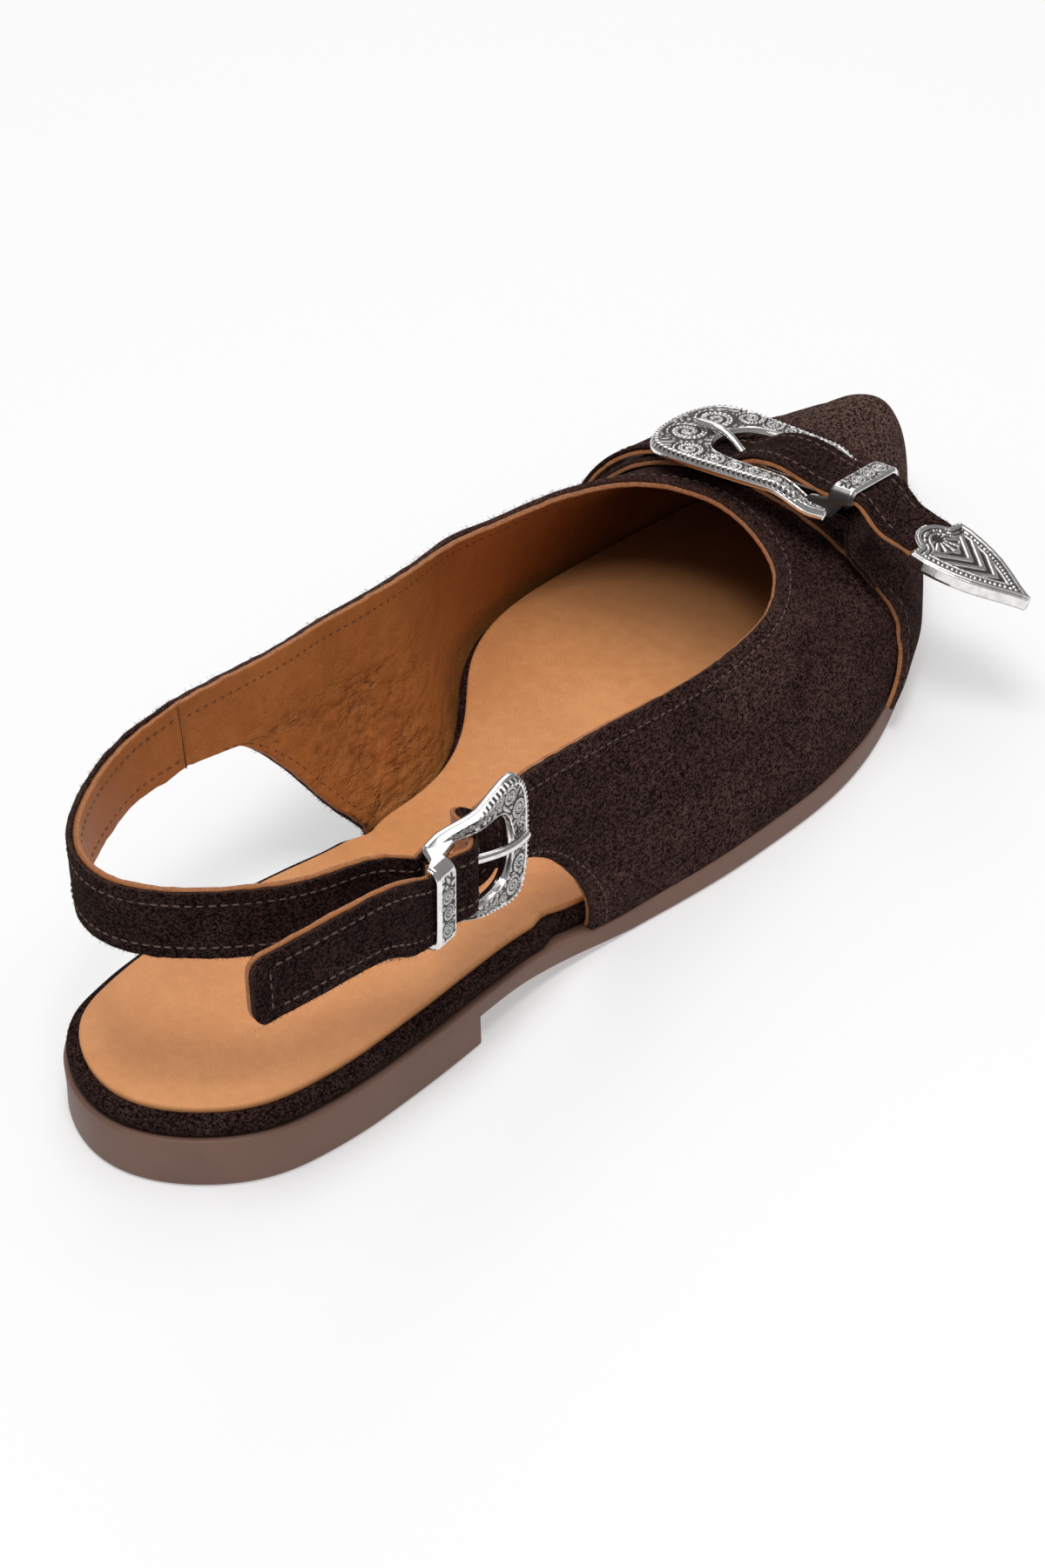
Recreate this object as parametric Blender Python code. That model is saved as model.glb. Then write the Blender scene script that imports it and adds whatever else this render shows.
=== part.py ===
"""Flat pointed slingback shoe for the right foot, with two western buckles.

Metres, +Z up, +Y towards the toe, +X towards the outer side of the foot. The origin is on the floor
under the middle of the heel. Tables hold shares of the named sizes, a row for each section.
"""
import math

import bmesh
import bpy
import numpy as np
from mathutils import Matrix

MM = 0.001

# Sole
SOLE_LENGTH = 262.0 * MM
BALL_WIDTH = 86.6 * MM
HEEL_HEIGHT = 10.8 * MM
HEEL_LENGTH = 66.0 * MM
FOREPART_THICKNESS = 5.9 * MM
TOE_SPRING = 5.8 * MM
HEEL_TO_ORIGIN = 33.0 * MM
HEEL_ROUND = 40.0 * MM
TOE_ROUND = 22.0 * MM
SOLE_EDGE_ROUND = 1.0 * MM
BREAST_DRAFT = 0.6 * MM

# Footbed
BOARD_THICKNESS = 3.9 * MM
BOARD_LEDGE = 1.0 * MM
BOARD_EDGE_ROUND = 1.2 * MM
INSOLE_THICKNESS = 1.0 * MM
INSOLE_MARGIN = 2.4 * MM

# Upper
UPPER_WALL = 2.2 * MM
UPPER_LEDGE = 0.3 * MM
INSTEP_HEIGHT = 43.3 * MM
TOE_BOX_ROUND = 12.0 * MM
BAND_WIDTH = 29.0 * MM
BAND_THICKNESS = 1.6 * MM

# Straps and buckles
STRAP_WIDTH = 14.6 * MM
STRAP_THICKNESS = 1.8 * MM
LOOP_THICKNESS = 1.2 * MM
CHAPE_WIDTH = 10.6 * MM
STRAP_HEIGHT = 58.0 * MM
STRAP_END_CUT = 3.2 * MM
BAR_RADIUS = 1.0 * MM
ARM_TAIL = 2.4 * MM
ARM_RISE = 10.0 * MM
FRAME_LIFT = 2.1 * MM
FRAME_THICKNESS = 2.4 * MM
FRAME_WIDTH = 27.4 * MM
SIDE_BUCKLE_LENGTH = 24.4 * MM
SIDE_BUCKLE_FRONT = 5.8 * MM
VAMP_BUCKLE_LENGTH = 42.6 * MM
VAMP_BUCKLE_FRONT = 12.1 * MM
KEEPER_WIDTH = 5.6 * MM
KEEPER_FOOT = 4.0 * MM
KEEPER_THICKNESS = 1.4 * MM
KEEPER_SETBACK = 4.8 * MM
PRONG_RADIUS = 0.7 * MM
TIP_LENGTH = 27.0 * MM
TIP_WIDTH = 18.4 * MM
TIP_THICKNESS = 3.0 * MM

# Fits and clearances
GAP = 0.3 * MM
REST = 1.0 * MM
SEAM_GAP = 1.3 * MM
SEAM_RUN = 2.5 * MM
BOARD_PLAY = 0.4 * MM
TOE_PLAY = 1.0 * MM
STRAP_PLAY = 0.4 * MM
OPENING_HALF = STRAP_WIDTH / 2 + STRAP_PLAY
LOOP_LIFT = BAR_RADIUS + GAP + LOOP_THICKNESS / 2
OVER_LIFT = BAR_RADIUS + GAP + LOOP_THICKNESS + GAP + STRAP_THICKNESS / 2

# Colours
RUBBER = (0.26, 0.16, 0.13)
SUEDE = (0.045, 0.025, 0.02)
TAN = (0.55, 0.26, 0.11)
SILVER = (0.6, 0.6, 0.6)

# Outline of the sole: share of length, then centre line and half width as shares of the ball width
OUTLINE = (
    (0.000, -0.012, 0.346),
    (0.038, -0.008, 0.364),
    (0.095, 0.006, 0.342),
    (0.172, 0.028, 0.331),
    (0.267, 0.060, 0.312),
    (0.345, 0.073, 0.299),
    (0.387, 0.074, 0.317),
    (0.420, 0.085, 0.326),
    (0.458, 0.091, 0.347),
    (0.504, 0.072, 0.395),
    (0.553, 0.031, 0.456),
    (0.649, 0.000, 0.500),
    (0.725, -0.007, 0.461),
    (0.802, -0.029, 0.388),
    (0.878, -0.060, 0.276),
    (0.947, -0.085, 0.156),
    (0.985, -0.089, 0.118),
    (1.000, -0.089, 0.108),
)
CENTRE, HALF = 1, 2

# Side of the sole: share of length, then how far the top climbs from forepart to heel,
# and the height of the arch under the waist as a share of the heel height
SIDE = (
    (0.000, 1.00, 0.58),
    (0.200, 1.00, 0.58),
    (0.255, 0.97, 0.58),
    (0.294, 0.78, 0.50),
    (0.336, 0.42, 0.30),
    (0.382, -0.05, 0.11),
    (0.420, -0.17, 0.00),
    (0.458, -0.13, 0.00),
    (0.540, -0.04, 0.00),
    (0.610, 0.00, 0.00),
    (1.000, 0.00, 0.00),
)
CLIMB, ARCH = 1, 2
SPRING_START = 0.77
SPRING_POWER = 1.7

# Sections of the upper: share of length, then ridge place (ball widths), ridge height (instep heights),
# and for each side how far the wall swings out (ball widths), how long it stays upright
# (instep heights) and how broad the ridge is (ball widths)
SECTIONS = (
    (0.218, 0.000, 2.20, 0.035, 0.35, 0.550, 0.035, 0.35, 0.470),
    (0.321, -0.035, 2.01, 0.024, 0.28, 0.590, 0.035, 0.28, 0.490),
    (0.420, -0.046, 1.80, 0.070, 0.33, 0.560, 0.046, 0.33, 0.455),
    (0.542, -0.058, 1.46, 0.081, 0.37, 0.450, 0.035, 0.37, 0.378),
    (0.637, -0.064, 1.23, 0.035, 0.33, 0.346, 0.023, 0.33, 0.330),
    (0.718, -0.070, 0.99, 0.035, 0.32, 0.300, 0.040, 0.30, 0.255),
    (0.821, -0.075, 0.83, 0.035, 0.32, 0.260, 0.040, 0.30, 0.200),
    (0.916, -0.082, 0.72, 0.023, 0.28, 0.150, 0.023, 0.26, 0.110),
    (1.000, -0.089, 0.64, 0.012, 0.20, 0.040, 0.012, 0.20, 0.040),
)
RIDGE_PLACE, RIDGE_HEIGHT = 1, 2
OUT, RISE, BREADTH = 3, 4, 5
SIDE_COLUMNS = 3

# Throat edge, from the medial wing (-1) round the front (0) to the lateral wing (1):
# share of length, and place between feather edge (1) and ridge (0), minus on the medial side
THROAT = (
    (-1.00, 0.2205, -0.500),
    (-0.90, 0.363, -0.485),
    (-0.80, 0.504, -0.475),
    (-0.70, 0.595, -0.465),
    (-0.60, 0.639, -0.420),
    (-0.50, 0.666, -0.350),
    (-0.40, 0.687, -0.280),
    (-0.30, 0.703, -0.190),
    (-0.20, 0.712, -0.100),
    (-0.10, 0.718, -0.005),
    (0.00, 0.720, 0.085),
    (0.10, 0.718, 0.170),
    (0.20, 0.711, 0.250),
    (0.30, 0.699, 0.330),
    (0.40, 0.681, 0.385),
    (0.50, 0.658, 0.425),
    (0.60, 0.630, 0.455),
    (0.70, 0.584, 0.480),
    (0.80, 0.508, 0.495),
    (0.90, 0.393, 0.495),
    (1.00, 0.265, 0.520),
)
ALONG, ACROSS = 1, 2
MEDIAL_FEATHER_END = 0.370
LATERAL_FEATHER_END = 0.380

# Rear edges of the wings, from feather edge (0) to throat edge (1): share of length and place
WING_EDGES = (
    (0.00, 0.370, -1.00, 0.380, 1.00),
    (0.12, 0.365, -0.94, 0.378, 0.91),
    (0.30, 0.336, -0.82, 0.370, 0.82),
    (0.50, 0.302, -0.69, 0.348, 0.728),
    (0.66, 0.256, -0.62, 0.307, 0.661),
    (0.78, 0.2205, -0.62, 0.269, 0.640),
    (0.89, 0.2205, -0.56, 0.266, 0.585),
    (1.00, 0.2205, -0.50, 0.265, 0.520),
)
WING_FADE = 0.25

# Overlay band: place across the vamp, then the share of length of its rear edge
BAND = (
    (-1.00, 0.735),
    (-0.50, 0.744),
    (0.00, 0.752),
    (0.30, 0.764),
    (0.60, 0.772),
    (0.85, 0.761),
    (1.00, 0.716),
)
BAND_REAR = 1
BAND_END = 0.985

# Buckle frame, half of it from the arm's end (0) to the middle of the front (1): outer edge along the
# frame, inner edge along the opening and across its half width, then the outer edge across its half
# width, for the side buckle and for the vamp buckle with its broader arms
RING = (
    (0.00, 0.00, 0.00, 1.00, 0.68, 0.78),
    (0.20, 0.19, 0.19, 1.00, 0.74, 0.88),
    (0.40, 0.41, 0.43, 1.02, 0.84, 0.95),
    (0.60, 0.64, 0.68, 1.05, 0.95, 0.99),
    (0.75, 0.82, 0.87, 0.92, 0.99, 0.99),
    (0.87, 0.94, 0.96, 0.54, 0.80, 0.80),
    (0.95, 0.99, 0.99, 0.22, 0.38, 0.38),
    (1.00, 1.00, 1.00, 0.00, 0.00, 0.00),
)
OUTER_ALONG, INNER_ALONG, INNER_HALF, SLIM, BROAD = 1, 2, 3, 4, 5
# Section of the frame: place from outer (0) to inner edge (1), height as a share of its thickness
RING_SECTION = ((0, 0), (0, 0.4), (0.1, 0.8), (0.35, 1), (0.65, 1), (0.9, 0.8), (1, 0.4), (1, 0))

# Places of the heel bars: across (ball widths), along (sole lengths), height (strap heights),
# then the direction of the frame's front and of its face
SIDE_BUCKLE = ((0.413, 0.1954, 0.867), (-1.8, 26.0, -1.8), (1.0, 0.07, 0.0))
VAMP_BUCKLE = ((0.232, 0.7725, 0.731), (-1.0, 0.0, -0.04), (-0.04, 0.17, 0.98))

# Middle line of the sling strap behind the heel, medial seam to side buckle
SLING = (
    (-0.343, 0.176, 0.905),
    (-0.308, 0.126, 0.925),
    (-0.245, 0.080, 0.950),
    (-0.145, 0.038, 0.980),
    (-0.005, 0.018, 1.005),
    (0.130, 0.029, 1.017),
    (0.240, 0.060, 1.005),
    (0.322, 0.110, 0.965),
    (0.370, 0.158, 0.920),
)
# Loose end of the side strap behind the keeper
SIDE_TAIL = (
    (0.465, 0.128, 0.958),
    (0.447, 0.090, 0.982),
    (0.421, 0.040, 0.993),
    (0.397, 0.006, 0.994),
)
# Vamp strap past the keeper, down to the tip
VAMP_TAIL = (
    (0.383, 0.7732, 0.731),
    (0.430, 0.7745, 0.699),
)
TIP_END = (0.730, 0.7725, 0.590)
# Straps that lie on the band, share of length and place: medial one up to the frame's front, lateral
# one up to the bar
VAMP_STRAP_ROOT = ((0.7725, -0.88), (0.7725, -0.72), (0.7725, -0.56), (0.7725, -0.40), (0.7725, -0.24))
CHAPE_ROOT = ((0.7725, 0.60), (0.7725, 0.56), (0.7725, 0.52), (0.7725, 0.48))
# Paths in the middle plane of a buckle, in bar radii: forwards from the bar, out of the frame's face
SIDE_STRAP_RISE = ((11.5, -3.0), (8.5, -0.2), (5.0, 2.6))
VAMP_STRAP_RISE = ((29.0, 0.8), (24.8, 1.35), (20.0, 4.1), (14.0, 5.8), (7.0, 5.0))
SIDE_PRONG = ((3.6, -0.2), (6.5, 0.3), (10.0, 1.9), (14.0, 4.1), (18.5, 5.3), (22.6, 5.2))
VAMP_PRONG = ((3.6, -0.3), (10.0, -0.5), (17.0, -0.5), (21.5, 0.1), (24.5, 1.8), (27.2, 3.9),
              (30.0, 5.2), (33.5, 5.5), (37.0, 5.3))
PRONG_HOLE_END = 0.8
# Half outline of the strap tip: along its length, across its half width
TIP_OUTLINE = (
    (0.000, 0.00), (0.010, 0.20), (0.040, 0.38), (0.090, 0.53), (0.135, 0.61), (0.150, 1.00),
    (0.260, 1.00), (0.380, 0.93), (0.500, 0.83), (0.620, 0.69), (0.750, 0.48), (0.870, 0.26),
    (0.960, 0.12), (1.000, 0.07),
)

# Mesh counts
STATIONS = 46
UPPER_COLUMNS = 72
UPPER_ROWS = 12


def spline(table, column, at):
    """Natural cubic curve through one column of a table, read at the values of its first column."""
    rows = np.array(table, dtype=float)
    x, y = rows[:, 0], rows[:, column]
    step = np.diff(x)
    system = np.eye(len(x))
    right = np.zeros(len(x))
    for i in range(1, len(x) - 1):
        system[i, i - 1:i + 2] = step[i - 1], 2 * (step[i - 1] + step[i]), step[i]
        right[i] = 6 * ((y[i + 1] - y[i]) / step[i] - (y[i] - y[i - 1]) / step[i - 1])
    bend = np.linalg.solve(system, right)
    at = np.clip(at, x[0], x[-1])
    k = np.clip(np.searchsorted(x, at, side="right") - 1, 0, len(x) - 2)
    before, after = at - x[k], x[k + 1] - at
    cubic = (bend[k] * after ** 3 + bend[k + 1] * before ** 3) / (6 * step[k])
    return (cubic + (y[k] / step[k] - bend[k] * step[k] / 6) * after
            + (y[k + 1] / step[k] - bend[k + 1] * step[k] / 6) * before)


def ease(value):
    """Smooth step from 0 to 1."""
    value = np.clip(value, 0, 1)
    return value * value * (3 - 2 * value)


def round_end(distance, reach):
    """Quarter ellipse that closes an end: 0 at the end, 1 from reach on."""
    share = 1 - np.clip(distance / reach, 0, 1)
    return np.sqrt(np.clip(1 - share * share, 0, 1))


def along(at):
    """Y of a share of the sole's length."""
    return SOLE_LENGTH * at - HEEL_TO_ORIGIN


def outline_point(at, side, inset=0.0):
    """Plan point of the sole's outline on one side (-1 medial, 1 lateral), moved inwards by inset."""
    def raw(share):
        ends = (round_end(share * SOLE_LENGTH, HEEL_ROUND)
                * round_end((1 - share) * SOLE_LENGTH, TOE_ROUND))
        half = spline(OUTLINE, HALF, share) * ends
        x = BALL_WIDTH * (spline(OUTLINE, CENTRE, share) + side * half)
        return np.stack([x, along(share)], axis=-1)

    share = np.clip(np.asarray(at, dtype=float), 1e-5, 1 - 1e-5)
    probe = 4e-6
    tangent = raw(share + probe) - raw(share - probe)
    tangent /= np.linalg.norm(tangent, axis=-1, keepdims=True)
    inward = np.stack([-side * tangent[..., 1], side * tangent[..., 0]], axis=-1)
    return raw(share) + inward * np.asarray(inset)[..., None]


def spring(at):
    """Lift of the toe off the floor."""
    share = np.clip((at - SPRING_START) / (1 - SPRING_START), 0, 1)
    return TOE_SPRING * share ** SPRING_POWER


def sole_top(at):
    climb = np.minimum(spline(SIDE, CLIMB, at), 1.0)
    return FOREPART_THICKNESS + (HEEL_HEIGHT - FOREPART_THICKNESS) * climb + spring(at)


def sole_bottom(at):
    arch = np.maximum(spline(SIDE, ARCH, at), 0) * HEEL_HEIGHT
    return np.where(at * SOLE_LENGTH <= HEEL_LENGTH, 0.0, arch) + spring(at)


def last_share(inset):
    """Share of the length where the two sides of an inset outline meet at the toe."""
    shares = np.linspace(0.9, 1, 401)
    width = outline_point(shares, 1, inset)[:, 0] - outline_point(shares, -1, inset)[:, 0]
    crossed = np.flatnonzero(width <= 0)
    return shares[crossed[0] - 1] if len(crossed) else 1.0


def loop(stations, inset, height):
    """Closed ring of points round the shoe: up the medial side, back down the lateral side.

    inset is a length or a function of the share of length, and height is such a function.
    """
    at_toe = inset(1.0) if callable(inset) else inset
    stations = stations * last_share(at_toe)
    moved = inset(stations) if callable(inset) else np.full(len(stations), inset)
    medial = np.column_stack([outline_point(stations, -1, moved), height(stations)])
    lateral = np.column_stack([outline_point(stations, 1, moved), height(stations)])
    return np.vstack([medial, lateral[::-1]])


def new_object(name, vertices, faces, cutter=False):
    """Mesh object in the shoe's collection, shaded smooth with sharp edges where it turns hard."""
    mesh = bpy.data.meshes.new(name)
    mesh.from_pydata([tuple(v) for v in vertices], [], [tuple(f) for f in faces])
    mesh.validate()
    bm = bmesh.new()
    bm.from_mesh(mesh)
    bmesh.ops.recalc_face_normals(bm, faces=bm.faces)
    bm.to_mesh(mesh)
    bm.free()
    mesh.shade_smooth()
    mesh.set_sharp_from_angle(angle=math.radians(40))
    thing = bpy.data.objects.new(name, mesh)
    if cutter:
        move_to(thing, CUTTERS)
    else:
        SHOE.objects.link(thing)
    return thing


def stacked(name, rings):
    """Solid from rings stacked upwards, closed at both ends by ladders from side to side."""
    count = len(rings[0])
    faces = []
    for level in range(len(rings) - 1):
        for i in range(count):
            j = (i + 1) % count
            low, high = level * count, (level + 1) * count
            faces.append((low + i, low + j, high + j, high + i))
    top = (len(rings) - 1) * count
    for i in range(count // 2 - 1):
        a, b, c, d = i, i + 1, count - 2 - i, count - 1 - i
        faces.append((d, c, b, a))
        faces.append((top + a, top + b, top + c, top + d))
    return new_object(name, np.vstack(rings), faces)


def even_stations(extra=()):
    """Shares of the length, close together at both round ends."""
    angle = (np.arange(STATIONS) + 0.5) * math.pi / STATIONS
    return np.sort(np.concatenate([(1 - np.cos(angle)) / 2, extra]))


def make_outsole():
    """Moulded sole with the heel block, its breast step and a rounded bottom edge."""
    breast = HEEL_LENGTH / SOLE_LENGTH
    stations = even_stations((breast, breast + BREAST_DRAFT / SOLE_LENGTH))
    turn = SOLE_EDGE_ROUND
    return stacked("outsole", [
        loop(stations, turn, sole_bottom),
        loop(stations, turn * 0.3, lambda at: sole_bottom(at) + turn * 0.3),
        loop(stations, 0.0, lambda at: sole_bottom(at) + turn),
        loop(stations, 0.0, sole_top),
    ])


def board_inset(at, extra=0.0):
    """The board stands back a ledge from the sole's edge, and inside the upper's wall further on."""
    inside = UPPER_LEDGE + UPPER_WALL + BOARD_PLAY
    start = MEDIAL_FEATHER_END - 0.040
    at_toe = TOE_PLAY * ease((at - 0.90) / 0.08)
    return BOARD_LEDGE + (inside - BOARD_LEDGE) * ease((at - start) / 0.024) + at_toe + extra


def board_top(at, below=0.0):
    return sole_top(at) + GAP + BOARD_THICKNESS - below


def make_board():
    """Suede-wrapped board under the insole, whose edge shows as a rand."""
    stations = even_stations()
    turn = BOARD_EDGE_ROUND
    return stacked("footbed_board", [
        loop(stations, board_inset, lambda at: sole_top(at) + GAP),
        loop(stations, board_inset, lambda at: board_top(at, turn)),
        loop(stations, lambda at: board_inset(at, turn * 0.3), lambda at: board_top(at, turn * 0.3)),
        loop(stations, lambda at: board_inset(at, turn), board_top),
    ])


def insole_inset(at, extra=0.0):
    return board_inset(at, INSOLE_MARGIN * (1 - 0.4 * ease((at - 0.34) / 0.03)) + extra)


def make_insole():
    """Leather sock on the board."""
    stations = even_stations()
    soft = INSOLE_THICKNESS * 0.4
    return stacked("insole", [
        loop(stations, insole_inset, lambda at: board_top(at, -GAP)),
        loop(stations, insole_inset, lambda at: board_top(at, soft - GAP - INSOLE_THICKNESS)),
        loop(stations, lambda at: insole_inset(at, soft), lambda at: board_top(at, -GAP - INSOLE_THICKNESS)),
    ])


def skin(at, place, lift=0.0):
    """Outer surface of the upper.

    at is the share of length. place runs from -1 at the medial feather edge over 0 at the ridge to 1
    at the lateral feather edge. Each section is a cubic curve that leaves the sole upright, swings
    out, and meets the ridge level; both ends of it close round the toe. lift moves it outwards.
    """
    at, place = np.broadcast_arrays(np.asarray(at, float), np.asarray(place, float))

    def raw(share, where):
        side = np.where(where < 0, -1.0, 1.0)
        columns = [np.where(where < 0, spline(SECTIONS, k, share),
                            spline(SECTIONS, k + SIDE_COLUMNS, share)) for k in (OUT, RISE, BREADTH)]
        toe = round_end((1 - share) * SOLE_LENGTH, TOE_ROUND)
        box = round_end((1 - share) * SOLE_LENGTH, TOE_BOX_ROUND)
        low = sole_top(share) + GAP
        edge = np.where(where < 0, outline_point(share, -1)[..., 0], outline_point(share, 1)[..., 0])
        middle = BALL_WIDTH * spline(OUTLINE, CENTRE, share)
        edge = middle + side * np.maximum(np.abs(edge - middle) - UPPER_LEDGE, 0)
        ridge = BALL_WIDTH * spline(SECTIONS, RIDGE_PLACE, share)
        top = low + (INSTEP_HEIGHT * spline(SECTIONS, RIDGE_HEIGHT, share) - low) * box
        t = 1 - np.abs(where)
        weights = ((1 - t) ** 3, 3 * (1 - t) ** 2 * t, 3 * (1 - t) * t ** 2, t ** 3)
        xs = (edge, edge + side * BALL_WIDTH * columns[0] * toe,
              ridge + side * BALL_WIDTH * columns[2] * toe, ridge)
        zs = (low, low + INSTEP_HEIGHT * columns[1] * box, top, top)
        x = sum(w * v for w, v in zip(weights, xs))
        z = sum(w * v for w, v in zip(weights, zs))
        return np.stack([x, np.broadcast_to(along(share), x.shape), z], axis=-1)

    points = raw(at, place)
    if np.any(lift):
        probe = 1e-4
        ahead = raw(at + probe, place) - raw(at - probe, place)
        near = np.clip(place, -1 + probe, 1 - probe)
        over = raw(at, near + probe) - raw(at, near - probe)
        normal = np.cross(over, ahead)
        normal /= np.linalg.norm(normal, axis=-1, keepdims=True)
        points = points + normal * np.asarray(lift)[..., None]
    return points


def half_girth(at):
    """Rough width of the pattern from feather edge to ridge, which spaces the grid's rows."""
    toe = round_end((1 - at) * SOLE_LENGTH, TOE_ROUND)
    tall = INSTEP_HEIGHT * spline(SECTIONS, RIDGE_HEIGHT, at)
    return toe * (BALL_WIDTH * spline(OUTLINE, HALF, at) + 0.6 * tall)


def upper_pattern(columns, rows):
    """Grid over the upper's pattern: rows from feather edge to throat, columns round the toe.

    Straight lines on the flat pattern join the feather edge to the throat edge, and near the wings
    the grid bends to their rear edges.
    """
    turn = np.linspace(-1, 1, columns)[None, :]
    climb = np.linspace(0, 1, rows)[:, None]
    end = np.where(turn < 0, MEDIAL_FEATHER_END, LATERAL_FEATHER_END)
    foot_at = 1 - (1 - end) * turn ** 2
    foot_across = np.sign(turn) * half_girth(foot_at)
    top_at = spline(THROAT, ALONG, turn)
    top_across = spline(THROAT, ACROSS, turn) * half_girth(top_at)
    at = foot_at + (top_at - foot_at) * climb
    place = (foot_across + (top_across - foot_across) * climb) / np.maximum(half_girth(at), 1e-9)
    for side, column, pick in ((-1, 1, 0), (1, 3, -1)):
        fade = np.clip(1 - (1 - side * turn) / WING_FADE, 0, 1) ** 2
        shift_at = spline(WING_EDGES, column, climb) - at[:, pick][:, None]
        shift_place = spline(WING_EDGES, column + 1, climb) - place[:, pick][:, None]
        at = at + shift_at * fade
        place = place + shift_place * fade
    place = np.clip(place, -1, 1)
    place[0] = np.where(turn[0] < 0, -1, 1)
    return at, place


def grid_normals(points):
    """Unit normals of a grid of points, outwards from the shoe."""
    rows = np.gradient(points, axis=0)
    columns = np.gradient(points, axis=1)
    normal = np.cross(rows, columns)
    return normal / np.maximum(np.linalg.norm(normal, axis=-1, keepdims=True), 1e-12)


def shell(name, outer, inner):
    """Solid wall between two grids of the same size, closed round its border."""
    rows, columns = outer.shape[:2]
    index = np.arange(rows * columns).reshape(rows, columns)
    faces = []
    for i in range(rows - 1):
        for j in range(columns - 1):
            quad = (index[i, j], index[i, j + 1], index[i + 1, j + 1], index[i + 1, j])
            faces.append(quad)
            faces.append(tuple(k + rows * columns for k in reversed(quad)))
    border = np.concatenate([index[0, :-1], index[:-1, -1], index[-1, :0:-1], index[:0:-1, 0]])
    for a, b in zip(border, np.roll(border, -1)):
        faces.append((a, b, b + rows * columns, a + rows * columns))
    return new_object(name, np.vstack([outer.reshape(-1, 3), inner.reshape(-1, 3)]), faces)


def make_upper():
    """Vamp and quarters: one wall between the outer surface and its inward offset."""
    at, place = upper_pattern(UPPER_COLUMNS, UPPER_ROWS)
    outer = skin(at, place)
    normal = grid_normals(outer)
    normal[0, :, 2] = 0
    normal[0] /= np.linalg.norm(normal[0], axis=-1, keepdims=True)
    return shell("upper", outer, outer - normal * UPPER_WALL)


def make_band():
    """Overlay across the vamp, a step outside the upper's own surface."""
    place = np.linspace(-BAND_END, BAND_END, 29)[None, :]
    step = np.linspace(0, BAND_WIDTH / SOLE_LENGTH, 7)[:, None]
    at = spline(BAND, BAND_REAR, place) + step
    inner = skin(at, place, np.full(at.shape, GAP))
    outer = skin(at, place, np.full(at.shape, GAP + BAND_THICKNESS))
    return shell("vamp_band", outer, inner)


def unit(vector):
    vector = np.asarray(vector, float)
    return vector / np.linalg.norm(vector, axis=-1, keepdims=True)


def from_shares(rows):
    """World points from shares of the ball width, the sole's length and the strap's height."""
    rows = np.array(rows, dtype=float)
    return np.column_stack([rows[:, 0] * BALL_WIDTH, along(rows[:, 1]), rows[:, 2] * STRAP_HEIGHT])


class Seat:
    """Frame of a buckle: x to the front of the frame, y along the bar, z out of its face."""

    def __init__(self, place, ahead, face):
        self.origin = from_shares([place])[0]
        self.x = unit(ahead)
        self.z = unit(np.asarray(face, float) - np.dot(face, self.x) * self.x)
        self.y = np.cross(self.z, self.x)

    def world(self, points):
        points = np.asarray(points, float)
        return (self.origin + points[..., :1] * self.x + points[..., 1:2] * self.y
                + points[..., 2:] * self.z)

    def middle(self, rows):
        """World points in the middle plane, from shares of the bar's radius."""
        return self.world([(x * BAR_RADIUS, 0.0, z * BAR_RADIUS) for x, z in rows])

    def matrix(self):
        columns = np.column_stack([self.x, self.y, self.z, self.origin])
        return Matrix(np.vstack([columns, [0, 0, 0, 1]]).tolist())


def smooth_path(points, count):
    """Natural cubic through points, spaced by the distances between them."""
    points = np.asarray(points, float)
    steps = np.linalg.norm(np.diff(points, axis=0), axis=1)
    share = np.concatenate([[0], np.cumsum(steps)]) / steps.sum()
    table = np.column_stack([share, points])
    at = np.linspace(0, 1, count)
    return np.column_stack([spline(table, k, at) for k in (1, 2, 3)]), share, at


def tube(name, points, cutter=False):
    """Solid through rings of points, one ring to a row, closed by a flat face at either end."""
    count, sides = points.shape[:2]
    faces = [tuple(range(sides)), tuple((count - 1) * sides + j for j in reversed(range(sides)))]
    for i in range(count - 1):
        for j in range(sides):
            k = (j + 1) % sides
            faces.append((i * sides + j, i * sides + k, (i + 1) * sides + k, (i + 1) * sides + j))
    return new_object(name, points.reshape(-1, 3), faces, cutter=cutter)


def sweep(name, path, across, widths, thicknesses, section, cutter=False):
    """Solid along a path. section lists shares of width and thickness round its cross-section."""
    tangent = unit(np.gradient(path, axis=0))
    across = unit(across - np.sum(across * tangent, axis=1, keepdims=True) * tangent)
    face = np.cross(tangent, across)
    points = np.stack([path + across * (a * widths)[:, None] + face * (b * thicknesses)[:, None]
                       for a, b in section], axis=1)
    return tube(name, points, cutter)


SQUARE = ((-0.5, -0.5), (0.5, -0.5), (0.5, 0.5), (-0.5, 0.5))
ROUND = tuple((math.cos(k * math.pi / 4), math.sin(k * math.pi / 4)) for k in range(8))


def strap(name, path, across, count, thickness, chamfer=0.0, width=STRAP_WIDTH):
    """Flat strap. chamfer cuts the corners of its far end."""
    dense, share, at = smooth_path(path, count)
    table = np.column_stack([share, across])
    across = np.column_stack([spline(table, k, at) for k in (1, 2, 3)])
    left = (1 - at) * np.linalg.norm(np.diff(dense, axis=0), axis=1).sum()
    widths = width - 2 * np.clip(chamfer - left, 0, None)
    return sweep(name, dense, across, widths, np.full(count, thickness), SQUARE)


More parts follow.
